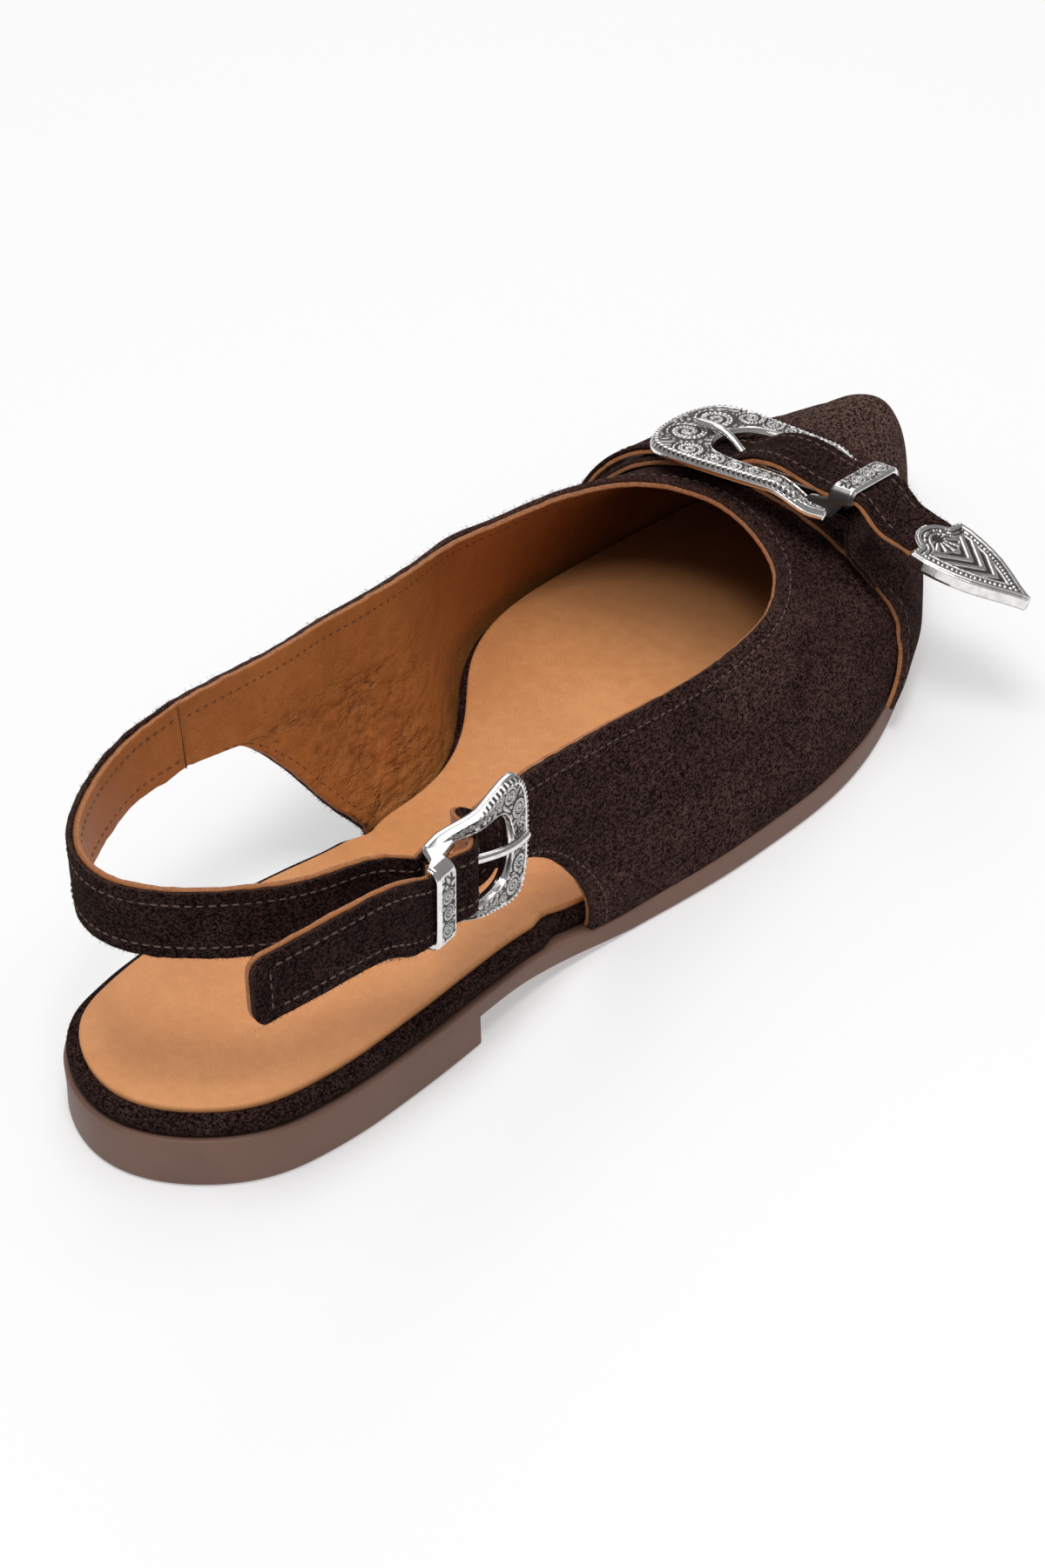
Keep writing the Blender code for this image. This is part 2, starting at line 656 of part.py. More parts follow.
def loop_round_bar(seat, side):
    """Points of a strap's folded end: in along one face of the bar, round it and back.

    side is -1 when the strap comes in under the bar and folds back over it.
    """
    turn = np.radians(np.linspace(-90, 90, 7)) * -side
    arc = np.column_stack([LOOP_LIFT * np.cos(turn), np.zeros(7), LOOP_LIFT * np.sin(turn)])
    start = [(-2 * LOOP_LIFT, 0, side * LOOP_LIFT)]
    back = [(-1.3 * LOOP_LIFT, 0, -side * LOOP_LIFT * 0.85), (-2.4 * LOOP_LIFT, 0, -side * LOOP_LIFT * 0.45)]
    return seat.world(np.vstack([start, arc, back]))


def wing_seam(column):
    """First two points of a strap that carries a wing on, and the upright direction of the seam."""
    seam = WING_EDGES[-1][column]
    low, middle, high = (row[column + 1] for row in WING_EDGES[-3:])
    first = skin(seam, middle, -UPPER_WALL / 2) - np.array([0, SEAM_GAP, 0])
    return [first, first - np.array([0, SEAM_RUN, 0])], unit(skin(seam, high) - skin(seam, low))


def make_sling():
    """Strap from the medial quarter round the heel, its end folded round the side buckle's bar."""
    seat = Seat(*SIDE_BUCKLE)
    seam, upright = wing_seam(1)
    tail = loop_round_bar(seat, -1)
    path = np.vstack([seam, from_shares(SLING), tail])
    ups = np.vstack([np.tile(upright, (2, 1)), np.tile([0.0, 0.0, 1.0], (len(SLING), 1)),
                     np.tile(seat.y, (len(tail), 1))])
    return strap("sling_strap", path, ups, 84, LOOP_THICKNESS)


def under_keeper(seat):
    """Points of a loose strap that lies over the folded end on the bar, then under the keeper."""
    behind = KEEPER_SETBACK + KEEPER_WIDTH / 2
    return seat.world([(BAR_RADIUS, 0, OVER_LIFT), (-KEEPER_SETBACK, 0, OVER_LIFT),
                       (-behind, 0, OVER_LIFT)])


def make_side_strap():
    """Loose end from the lateral quarter, up through the frame, over the bar, under the keeper."""
    seat = Seat(*SIDE_BUCKLE)
    seam, upright = wing_seam(3)
    inside = np.vstack([seat.middle(SIDE_STRAP_RISE), under_keeper(seat)])
    path = np.vstack([seam, inside, from_shares(SIDE_TAIL)])
    ups = np.vstack([np.tile(upright, (2, 1)), np.tile(seat.y, (len(inside), 1)),
                     np.tile([0.0, 0.0, 1.0], (len(SIDE_TAIL), 1))])
    return strap("side_strap", path, ups, 44, STRAP_THICKNESS, chamfer=STRAP_END_CUT)


def on_band(rows, thickness):
    """Points on the middle of a strap that lies on the overlay band, and the direction across it."""
    rows = np.array(rows)
    lift = np.full(len(rows), GAP + BAND_THICKNESS + REST + thickness / 2)
    reach = STRAP_WIDTH / 2 / SOLE_LENGTH
    across = skin(rows[:, 0] - reach, rows[:, 1], lift) - skin(rows[:, 0] + reach, rows[:, 1], lift)
    return skin(rows[:, 0], rows[:, 1], lift), unit(across)


def make_vamp_strap():
    """Loose strap across the vamp: from the medial side under the frame's front, up through it."""
    seat = Seat(*VAMP_BUCKLE)
    lying, across = on_band(VAMP_STRAP_ROOT, STRAP_THICKNESS)
    inside = np.vstack([seat.middle(VAMP_STRAP_RISE), under_keeper(seat)])
    path = np.vstack([lying, inside, from_shares(VAMP_TAIL)])
    ups = np.vstack([across, np.tile(seat.y, (len(path) - len(lying), 1))])
    return strap("vamp_strap", path, ups, 56, STRAP_THICKNESS)


def make_chape():
    """Short strap on the band, folded round the vamp buckle's bar, that holds the buckle."""
    seat = Seat(*VAMP_BUCKLE)
    lying, across = on_band(CHAPE_ROOT, LOOP_THICKNESS)
    path = np.vstack([lying, loop_round_bar(seat, -1)])
    ups = np.vstack([across, np.tile(seat.y, (len(path) - len(lying), 1))])
    return strap("vamp_chape", path, ups, 40, LOOP_THICKNESS, width=CHAPE_WIDTH)


def ring_edges(length, front, arms):
    """Outer and inner edge of a buckle frame in its own plane, from one arm to the other.

    arms is the column of the ring's table with the outer edge's half width.
    """
    turn = np.linspace(-1, 1, 37)
    half = np.array(RING)[::-1]
    half[:, 0] = 1 - half[:, 0]
    table = np.vstack([half[:0:-1] * (-1, 1, 1, -1, -1, -1), half])
    outer = np.column_stack([spline(table, OUTER_ALONG, turn) * (length + ARM_TAIL) - ARM_TAIL,
                             spline(table, arms, turn) * FRAME_WIDTH / 2])
    inner = np.column_stack([spline(table, INNER_ALONG, turn) * (length - front + ARM_TAIL) - ARM_TAIL,
                             spline(table, INNER_HALF, turn) * OPENING_HALF])
    return outer, inner


def make_buckle(name, seat, length, front, arms):
    """Cast frame: a broad horseshoe, the heel bar between its arms, and the raised keeper."""
    outer, inner = ring_edges(length, front, arms)
    section = np.array(RING_SECTION)
    flat = outer[:, None] + (inner - outer)[:, None] * section[None, :, :1]
    rise = (BAR_RADIUS + FRAME_LIFT) * ease(flat[..., 0] / ARM_RISE) - BAR_RADIUS
    height = rise + FRAME_THICKNESS * section[None, :, 1]
    frame = tube(name, np.concatenate([flat, height[..., None]], axis=-1))
    frame.matrix_world = seat.matrix()

    leg = OPENING_HALF + KEEPER_THICKNESS / 2
    bpy.ops.mesh.primitive_cylinder_add(vertices=12, radius=BAR_RADIUS, depth=2 * leg)
    bar = bpy.context.object
    bar.name = name + "_bar"
    move_to(bar, CUTTERS)
    bar.matrix_world = seat.matrix() @ Matrix.Rotation(math.pi / 2, 4, "X")

    top = OVER_LIFT + (STRAP_THICKNESS + KEEPER_THICKNESS) / 2 + GAP
    corner = KEEPER_THICKNESS * 0.6
    half = [(-BAR_RADIUS, -leg, -BAR_RADIUS * 0.6, KEEPER_FOOT),
            (-KEEPER_SETBACK, -leg, top - corner, KEEPER_WIDTH),
            (-KEEPER_SETBACK, corner * 0.3 - leg, top - corner * 0.3, KEEPER_WIDTH),
            (-KEEPER_SETBACK, corner - leg, top, KEEPER_WIDTH)]
    route = np.array(half + [(x, -y, z, width) for x, y, z, width in reversed(half)])
    keeper = sweep(name + "_keeper", route[:, :3], np.tile([1.0, 0, 0], (len(route), 1)),
                   route[:, 3], np.full(len(route), KEEPER_THICKNESS), SQUARE, cutter=True)
    keeper.matrix_world = seat.matrix()
    for tool in (bar, keeper):
        join = frame.modifiers.new(tool.name, "BOOLEAN")
        join.operation = "UNION"
        join.object = tool
    return frame


def make_prong(name, seat, rows, loose_strap):
    """Prong from beside the bar, up through its hole in the loose strap, onto the frame's front."""
    path, _, at = smooth_path(seat.middle(rows), 16)
    across = np.tile(seat.y, (16, 1))
    taper = PRONG_RADIUS * (1 - 0.35 * at)
    prong = sweep(name, path, across, taper, taper, ROUND)
    reach = at < PRONG_HOLE_END
    hole = np.full(int(reach.sum()), PRONG_RADIUS + 2 * GAP)
    cutter = sweep(name + "_hole", path[reach], across[reach], hole, hole, ROUND, cutter=True)
    cut = loose_strap.modifiers.new(cutter.name, "BOOLEAN")
    cut.operation = "DIFFERENCE"
    cut.object = cutter
    return prong


def make_tip():
    """Cast tip on the end of the vamp strap: a lobe, two shoulders and a blunt point."""
    start, end = from_shares([VAMP_TAIL[-1]])[0], from_shares([TIP_END])[0]
    ahead = unit(end - start)
    face = Seat(*VAMP_BUCKLE).z
    face = unit(face - np.dot(face, ahead) * ahead)
    side = np.cross(face, ahead)
    rows = np.array(TIP_OUTLINE)
    rings = []
    for height, inset in ((-0.5, 0.0), (0.3, 0.0), (0.5, 0.7 * MM)):
        reach = 2 * GAP + rows[:, :1] * (TIP_LENGTH - inset) + inset * 0.5
        half = np.maximum(rows[:, 1:] * TIP_WIDTH / 2 - inset, 0.1 * MM)
        base = start + reach * ahead + height * TIP_THICKNESS * face
        rings.append(np.vstack([base - half * side, (base + half * side)[::-1]]))
    return stacked("strap_tip", rings)


def paint(thing, colour, roughness, metallic=0.0):
    """Give an object its own plain material."""
    material = bpy.data.materials.new(thing.name)
    material.use_nodes = True
    shader = material.node_tree.nodes["Principled BSDF"]
    shader.inputs["Base Color"].default_value = (*colour, 1)
    shader.inputs["Roughness"].default_value = roughness
    shader.inputs["Metallic"].default_value = metallic
    thing.data.materials.append(material)


def move_to(thing, collection):
    """Take an object out of its collections and put it in another, as a hidden cutter."""
    for old in list(thing.users_collection):
        old.objects.unlink(thing)
    collection.objects.link(thing)
    thing.hide_render = True
    thing.display_type = "WIRE"


for thing in list(bpy.data.objects):
    bpy.data.objects.remove(thing)
SHOE = bpy.data.collections.new("pointed_slingback_shoe")
CUTTERS = bpy.data.collections.new("cutters")
bpy.context.scene.collection.children.link(SHOE)
bpy.context.scene.collection.children.link(CUTTERS)

paint(make_outsole(), RUBBER, 0.6)
paint(make_board(), SUEDE, 0.95)
paint(make_insole(), TAN, 0.5)
paint(make_upper(), SUEDE, 0.95)
paint(make_band(), SUEDE, 0.95)
paint(make_sling(), SUEDE, 0.95)
side_strap = make_side_strap()
vamp_strap = make_vamp_strap()
side_seat = Seat(*SIDE_BUCKLE)
vamp_seat = Seat(*VAMP_BUCKLE)
paint(side_strap, SUEDE, 0.95)
paint(vamp_strap, SUEDE, 0.95)
paint(make_chape(), SUEDE, 0.95)
side_buckle = make_buckle("side_buckle", side_seat, SIDE_BUCKLE_LENGTH, SIDE_BUCKLE_FRONT, SLIM)
vamp_buckle = make_buckle("vamp_buckle", vamp_seat, VAMP_BUCKLE_LENGTH, VAMP_BUCKLE_FRONT, BROAD)
paint(side_buckle, SILVER, 0.25, 1.0)
paint(vamp_buckle, SILVER, 0.25, 1.0)
paint(make_prong("side_prong", side_seat, SIDE_PRONG, side_strap), SILVER, 0.25, 1.0)
paint(make_prong("vamp_prong", vamp_seat, VAMP_PRONG, vamp_strap), SILVER, 0.25, 1.0)
paint(make_tip(), SILVER, 0.25, 1.0)
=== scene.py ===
# %% [markdown]
# # Pointed slingback shoe
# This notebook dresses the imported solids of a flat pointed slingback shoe. Every new piece is a surface
# worked out with numpy from the same sizes as the solids, with a material made of procedural nodes.
# Lengths are metres, +Z is up, +Y points to the toe and +X to the outer side of the foot.

# %% Load the solids
import math

import bpy
import numpy as np
from mathutils import Matrix, Vector

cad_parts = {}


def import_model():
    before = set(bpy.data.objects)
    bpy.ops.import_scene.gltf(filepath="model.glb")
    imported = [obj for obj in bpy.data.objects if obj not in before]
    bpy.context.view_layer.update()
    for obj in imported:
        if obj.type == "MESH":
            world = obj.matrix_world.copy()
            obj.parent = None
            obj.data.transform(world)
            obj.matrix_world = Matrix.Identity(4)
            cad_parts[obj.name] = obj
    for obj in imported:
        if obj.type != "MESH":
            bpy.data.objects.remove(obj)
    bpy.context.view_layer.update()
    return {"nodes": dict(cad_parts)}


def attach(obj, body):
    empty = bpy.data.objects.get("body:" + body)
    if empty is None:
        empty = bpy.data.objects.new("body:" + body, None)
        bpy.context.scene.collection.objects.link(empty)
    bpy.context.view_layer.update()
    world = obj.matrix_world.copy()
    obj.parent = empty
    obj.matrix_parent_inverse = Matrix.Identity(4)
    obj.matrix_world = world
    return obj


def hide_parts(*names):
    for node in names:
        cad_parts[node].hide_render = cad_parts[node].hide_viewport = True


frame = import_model()
print("solids:", sorted(frame["nodes"]))

# %% [markdown]
# ## Sizes
# The sizes and tables below are those of the solids. A table holds shares of a named size, one row for
# each section, so the looks stay on the solids when a size changes.

# %% Sizes
MM = 0.001

# Sole
SOLE_LENGTH = 262.0 * MM
BALL_WIDTH = 86.6 * MM
HEEL_HEIGHT = 10.8 * MM
HEEL_LENGTH = 66.0 * MM
FOREPART_THICKNESS = 5.9 * MM
TOE_SPRING = 5.8 * MM
HEEL_TO_ORIGIN = 33.0 * MM
HEEL_ROUND = 40.0 * MM
TOE_ROUND = 22.0 * MM
SOLE_EDGE_ROUND = 1.0 * MM
BREAST_DRAFT = 0.6 * MM

# Footbed
BOARD_THICKNESS = 3.9 * MM
BOARD_LEDGE = 1.0 * MM
BOARD_EDGE_ROUND = 1.2 * MM
INSOLE_THICKNESS = 1.0 * MM
INSOLE_MARGIN = 2.4 * MM

# Upper
UPPER_WALL = 2.2 * MM
UPPER_LEDGE = 0.3 * MM
INSTEP_HEIGHT = 43.3 * MM
TOE_BOX_ROUND = 12.0 * MM
BAND_WIDTH = 29.0 * MM
BAND_THICKNESS = 1.6 * MM

# Straps and buckles
STRAP_WIDTH = 14.6 * MM
STRAP_THICKNESS = 1.8 * MM
LOOP_THICKNESS = 1.2 * MM
CHAPE_WIDTH = 10.6 * MM
STRAP_HEIGHT = 58.0 * MM
STRAP_END_CUT = 3.2 * MM
BAR_RADIUS = 1.0 * MM
ARM_TAIL = 2.4 * MM
ARM_RISE = 10.0 * MM
FRAME_LIFT = 2.1 * MM
FRAME_THICKNESS = 2.4 * MM
FRAME_WIDTH = 27.4 * MM
SIDE_BUCKLE_LENGTH = 24.4 * MM
SIDE_BUCKLE_FRONT = 5.8 * MM
VAMP_BUCKLE_LENGTH = 42.6 * MM
VAMP_BUCKLE_FRONT = 12.1 * MM
KEEPER_WIDTH = 5.6 * MM
KEEPER_FOOT = 4.0 * MM
KEEPER_THICKNESS = 1.4 * MM
KEEPER_SETBACK = 4.8 * MM
PRONG_RADIUS = 0.7 * MM
TIP_LENGTH = 27.0 * MM
TIP_WIDTH = 18.4 * MM
TIP_THICKNESS = 3.0 * MM

# Fits and clearances
GAP = 0.3 * MM
REST = 1.0 * MM
SEAM_GAP = 1.3 * MM
SEAM_RUN = 2.5 * MM
BOARD_PLAY = 0.4 * MM
TOE_PLAY = 1.0 * MM
STRAP_PLAY = 0.4 * MM
OPENING_HALF = STRAP_WIDTH / 2 + STRAP_PLAY
LOOP_LIFT = BAR_RADIUS + GAP + LOOP_THICKNESS / 2
OVER_LIFT = BAR_RADIUS + GAP + LOOP_THICKNESS + GAP + STRAP_THICKNESS / 2
print("sole", round(SOLE_LENGTH, 4), "m long, straps", round(STRAP_WIDTH, 4), "m wide")

# %% [markdown]
# ## Tables of the sole
# A sole has no simple formula. It could be drawn as a curve with handles, but a short table of widths
# and heights is easier to measure and to change, and a smooth curve fills it in later.

# %% Tables of the sole
# Outline of the sole: share of length, then centre line and half width as shares of the ball width
OUTLINE = (
    (0.000, -0.012, 0.346),
    (0.038, -0.008, 0.364),
    (0.095, 0.006, 0.342),
    (0.172, 0.028, 0.331),
    (0.267, 0.060, 0.312),
    (0.345, 0.073, 0.299),
    (0.387, 0.074, 0.317),
    (0.420, 0.085, 0.326),
    (0.458, 0.091, 0.347),
    (0.504, 0.072, 0.395),
    (0.553, 0.031, 0.456),
    (0.649, 0.000, 0.500),
    (0.725, -0.007, 0.461),
    (0.802, -0.029, 0.388),
    (0.878, -0.060, 0.276),
    (0.947, -0.085, 0.156),
    (0.985, -0.089, 0.118),
    (1.000, -0.089, 0.108),
)
CENTRE, HALF = 1, 2

# Side of the sole: share of length, then how far the top climbs from forepart to heel,
# and the height of the arch under the waist as a share of the heel height
SIDE = (
    (0.000, 1.00, 0.58),
    (0.200, 1.00, 0.58),
    (0.255, 0.97, 0.58),
    (0.294, 0.78, 0.50),
    (0.336, 0.42, 0.30),
    (0.382, -0.05, 0.11),
    (0.420, -0.17, 0.00),
    (0.458, -0.13, 0.00),
    (0.540, -0.04, 0.00),
    (0.610, 0.00, 0.00),
    (1.000, 0.00, 0.00),
)
CLIMB, ARCH = 1, 2
SPRING_START = 0.77
SPRING_POWER = 1.7
print("rows of the sole:", len(OUTLINE), "and", len(SIDE))

# %% [markdown]
# ## Tables of the upper
# The upper is the leather shell over the front of the foot. It could be sculpted, but a last maker
# thinks in sections across the foot, so a few sections are kept here, with the lines of the cut edges.

# %% Tables of the upper
# Sections of the upper: share of length, then ridge place (ball widths), ridge height (instep heights),
# and for each side how far the wall swings out (ball widths), how long it stays upright
# (instep heights) and how broad the ridge is (ball widths)
SECTIONS = (
    (0.218, 0.000, 2.20, 0.035, 0.35, 0.550, 0.035, 0.35, 0.470),
    (0.321, -0.035, 2.01, 0.024, 0.28, 0.590, 0.035, 0.28, 0.490),
    (0.420, -0.046, 1.80, 0.070, 0.33, 0.560, 0.046, 0.33, 0.455),
    (0.542, -0.058, 1.46, 0.081, 0.37, 0.450, 0.035, 0.37, 0.378),
    (0.637, -0.064, 1.23, 0.035, 0.33, 0.346, 0.023, 0.33, 0.330),
    (0.718, -0.070, 0.99, 0.035, 0.32, 0.300, 0.040, 0.30, 0.255),
    (0.821, -0.075, 0.83, 0.035, 0.32, 0.260, 0.040, 0.30, 0.200),
    (0.916, -0.082, 0.72, 0.023, 0.28, 0.150, 0.023, 0.26, 0.110),
    (1.000, -0.089, 0.64, 0.012, 0.20, 0.040, 0.012, 0.20, 0.040),
)
RIDGE_PLACE, RIDGE_HEIGHT = 1, 2
OUT, RISE, BREADTH = 3, 4, 5
SIDE_COLUMNS = 3

# Throat edge, from the medial wing (-1) round the front (0) to the lateral wing (1):
# share of length, and place between feather edge (1) and ridge (0), minus on the medial side
THROAT = (
    (-1.00, 0.2205, -0.500),
    (-0.90, 0.363, -0.485),
    (-0.80, 0.504, -0.475),
    (-0.70, 0.595, -0.465),
    (-0.60, 0.639, -0.420),
    (-0.50, 0.666, -0.350),
    (-0.40, 0.687, -0.280),
    (-0.30, 0.703, -0.190),
    (-0.20, 0.712, -0.100),
    (-0.10, 0.718, -0.005),
    (0.00, 0.720, 0.085),
    (0.10, 0.718, 0.170),
    (0.20, 0.711, 0.250),
    (0.30, 0.699, 0.330),
    (0.40, 0.681, 0.385),
    (0.50, 0.658, 0.425),
    (0.60, 0.630, 0.455),
    (0.70, 0.584, 0.480),
    (0.80, 0.508, 0.495),
    (0.90, 0.393, 0.495),
    (1.00, 0.265, 0.520),
)
ALONG, ACROSS = 1, 2
MEDIAL_FEATHER_END = 0.370
LATERAL_FEATHER_END = 0.380

# Rear edges of the wings, from feather edge (0) to throat edge (1): share of length and place
WING_EDGES = (
    (0.00, 0.370, -1.00, 0.380, 1.00),
    (0.12, 0.365, -0.94, 0.378, 0.91),
    (0.30, 0.336, -0.82, 0.370, 0.82),
    (0.50, 0.302, -0.69, 0.348, 0.728),
    (0.66, 0.256, -0.62, 0.307, 0.661),
    (0.78, 0.2205, -0.62, 0.269, 0.640),
    (0.89, 0.2205, -0.56, 0.266, 0.585),
    (1.00, 0.2205, -0.50, 0.265, 0.520),
)
WING_FADE = 0.25

# Overlay band: place across the vamp, then the share of length of its rear edge
BAND = (
    (-1.00, 0.735),
    (-0.50, 0.744),
    (0.00, 0.752),
    (0.30, 0.764),
    (0.60, 0.772),
    (0.85, 0.761),
    (1.00, 0.716),
)
BAND_REAR = 1
BAND_END = 0.985
print("sections of the upper:", len(SECTIONS), "points of the throat:", len(THROAT))

# %% [markdown]
# ## Tables of the buckles and straps
# Each buckle is cast in one piece. Half of its outline is enough, because it is the same on both sides.
# A strap is only a width and a way, so its table is a row of points that its middle line goes through.

# %% Tables of the buckles and straps
# Buckle frame, half of it from the arm's end (0) to the middle of the front (1): outer edge along the
# frame, inner edge along the opening and across its half width, then the outer edge across its half
# width, for the side buckle and for the vamp buckle with its broader arms
RING = (
    (0.00, 0.00, 0.00, 1.00, 0.68, 0.78),
    (0.20, 0.19, 0.19, 1.00, 0.74, 0.88),
    (0.40, 0.41, 0.43, 1.02, 0.84, 0.95),
    (0.60, 0.64, 0.68, 1.05, 0.95, 0.99),
    (0.75, 0.82, 0.87, 0.92, 0.99, 0.99),
    (0.87, 0.94, 0.96, 0.54, 0.80, 0.80),
    (0.95, 0.99, 0.99, 0.22, 0.38, 0.38),
    (1.00, 1.00, 1.00, 0.00, 0.00, 0.00),
)
OUTER_ALONG, INNER_ALONG, INNER_HALF, SLIM, BROAD = 1, 2, 3, 4, 5

# Places of the heel bars: across (ball widths), along (sole lengths), height (strap heights),
# then the direction of the frame's front and of its face
SIDE_BUCKLE = ((0.413, 0.1954, 0.867), (-1.8, 26.0, -1.8), (1.0, 0.07, 0.0))
VAMP_BUCKLE = ((0.232, 0.7725, 0.731), (-1.0, 0.0, -0.04), (-0.04, 0.17, 0.98))

# Middle line of the sling strap behind the heel, medial seam to side buckle
SLING = (
    (-0.343, 0.176, 0.905),
    (-0.308, 0.126, 0.925),
    (-0.245, 0.080, 0.950),
    (-0.145, 0.038, 0.980),
    (-0.005, 0.018, 1.005),
    (0.130, 0.029, 1.017),
    (0.240, 0.060, 1.005),
    (0.322, 0.110, 0.965),
    (0.370, 0.158, 0.920),
)
# Loose end of the side strap behind the keeper
SIDE_TAIL = (
    (0.465, 0.128, 0.958),
    (0.447, 0.090, 0.982),
    (0.421, 0.040, 0.993),
    (0.397, 0.006, 0.994),
)
# Vamp strap past the keeper, down to the tip
VAMP_TAIL = (
    (0.383, 0.7732, 0.731),
    (0.430, 0.7745, 0.699),
)
TIP_END = (0.730, 0.7725, 0.590)
# Straps that lie on the band, share of length and place: medial one up to the frame's front, lateral
# one up to the bar
VAMP_STRAP_ROOT = ((0.7725, -0.88), (0.7725, -0.72), (0.7725, -0.56), (0.7725, -0.40), (0.7725, -0.24))
CHAPE_ROOT = ((0.7725, 0.60), (0.7725, 0.56), (0.7725, 0.52), (0.7725, 0.48))
# Paths in the middle plane of a buckle, in bar radii: forwards from the bar, out of the frame's face
SIDE_HUMP = ((11.5, -3.0), (9.7, 0.4), (7.3, 3.3), (4.2, 4.7))
VAMP_STRAP_RISE = ((29.0, 0.8), (24.8, 1.35), (20.0, 4.1), (14.0, 5.8), (7.0, 5.0))
SIDE_PRONG = ((3.6, -0.2), (6.5, 0.3), (10.0, 1.9), (14.0, 4.1), (18.5, 5.3), (22.6, 5.2))
VAMP_PRONG = ((3.6, -0.3), (10.0, -0.5), (17.0, -0.5), (21.5, 0.1), (24.5, 1.8), (27.2, 3.9),
              (30.0, 5.2), (33.5, 5.5), (37.0, 5.3))
# Half outline of the strap tip: along its length, across its half width
TIP_OUTLINE = (
    (0.000, 0.00), (0.010, 0.20), (0.040, 0.38), (0.090, 0.53), (0.135, 0.61), (0.150, 1.00),
    (0.260, 1.00), (0.380, 0.93), (0.500, 0.83), (0.620, 0.69), (0.750, 0.48), (0.870, 0.26),
    (0.960, 0.12), (1.000, 0.07),
)
print("points of the sling:", len(SLING), "points of the tip:", len(TIP_OUTLINE))

# %% [markdown]
# ## Curves
# Curve objects could fill the tables in, but a formula can be asked for any point. A natural cubic is
# the line that a thin steel spline takes through its pins, so it suits a shoe's long curves.

# %% Curves
def spline(table, column, at):
    """Natural cubic curve through one column of a table, read at the values of its first column."""
    rows = np.array(table, dtype=float)
    x, y = rows[:, 0], rows[:, column]
    step = np.diff(x)
    system = np.eye(len(x))
    right = np.zeros(len(x))
    for i in range(1, len(x) - 1):
        system[i, i - 1:i + 2] = step[i - 1], 2 * (step[i - 1] + step[i]), step[i]
        right[i] = 6 * ((y[i + 1] - y[i]) / step[i] - (y[i] - y[i - 1]) / step[i - 1])
    bend = np.linalg.solve(system, right)
    at = np.clip(at, x[0], x[-1])
    k = np.clip(np.searchsorted(x, at, side="right") - 1, 0, len(x) - 2)
    before, after = at - x[k], x[k + 1] - at
    cubic = (bend[k] * after ** 3 + bend[k + 1] * before ** 3) / (6 * step[k])
    return (cubic + (y[k] / step[k] - bend[k] * step[k] / 6) * after
            + (y[k + 1] / step[k] - bend[k + 1] * step[k] / 6) * before)


def ease(value):
    """Smooth step from 0 to 1."""
    value = np.clip(value, 0, 1)
    return value * value * (3 - 2 * value)


def round_end(distance, reach):
    """Quarter ellipse that closes an end: 0 at the end, 1 from reach on."""
    share = 1 - np.clip(distance / reach, 0, 1)
    return np.sqrt(np.clip(1 - share * share, 0, 1))


print("half of the outline at the ball:", round(float(spline(OUTLINE, HALF, 0.649)), 3))

# %% [markdown]
# ## Outline and heights of the sole
# The outline is the centre line plus or minus the half width, and both ends are closed by a quarter
# ellipse. Leather and board stand back from it by a fixed distance, so every point can be moved inwards
# along the outline's own normal. Scaling the outline instead would narrow the waist too much.

# %% Outline and heights
def along(at):
    """Y of a share of the sole's length."""
    return SOLE_LENGTH * at - HEEL_TO_ORIGIN


def outline_point(at, side, inset=0.0):
    """Plan point of the sole's outline on one side (-1 medial, 1 lateral), moved inwards by inset."""
    def raw(share):
        ends = (round_end(share * SOLE_LENGTH, HEEL_ROUND)
                * round_end((1 - share) * SOLE_LENGTH, TOE_ROUND))
        half = spline(OUTLINE, HALF, share) * ends
        x = BALL_WIDTH * (spline(OUTLINE, CENTRE, share) + side * half)
        return np.stack([x, along(share)], axis=-1)

    share = np.clip(np.asarray(at, dtype=float), 1e-5, 1 - 1e-5)
    probe = 4e-6
    tangent = raw(share + probe) - raw(share - probe)
    tangent /= np.linalg.norm(tangent, axis=-1, keepdims=True)
    inward = np.stack([-side * tangent[..., 1], side * tangent[..., 0]], axis=-1)
    return raw(share) + inward * np.asarray(inset)[..., None]


def spring(at):
    """Lift of the toe off the floor."""
    share = np.clip((at - SPRING_START) / (1 - SPRING_START), 0, 1)
    return TOE_SPRING * share ** SPRING_POWER


def sole_top(at):
    """Height of the rubber's top: the forepart's thickness plus the climb to the heel."""
    climb = np.minimum(spline(SIDE, CLIMB, at), 1.0)
    return FOREPART_THICKNESS + (HEEL_HEIGHT - FOREPART_THICKNESS) * climb + spring(at)


def sole_bottom(at):
    """Height of the rubber's bottom: flat under the heel, arched at the waist, lifted at the toe."""
    arch = np.maximum(spline(SIDE, ARCH, at), 0) * HEEL_HEIGHT
    return np.where(at * SOLE_LENGTH <= HEEL_LENGTH, 0.0, arch) + spring(at)


print("height of the heel's top and the ball's top:", sole_top(np.array([0.1, 0.649])).round(4))

# %% [markdown]
# ## Rings round the sole
# Each layer of the bottom, rubber, board and sock, is a stack of rings at slightly different insets. A
# ring runs up the medial side and back down the lateral side, and ends where an inset outline closes.

# %% Rings and insets
def last_share(inset):
    """Share of the length where the two sides of an inset outline meet at the toe."""
    shares = np.linspace(0.9, 1, 401)
    width = outline_point(shares, 1, inset)[:, 0] - outline_point(shares, -1, inset)[:, 0]
    crossed = np.flatnonzero(width <= 0)
    return shares[crossed[0] - 1] if len(crossed) else 1.0


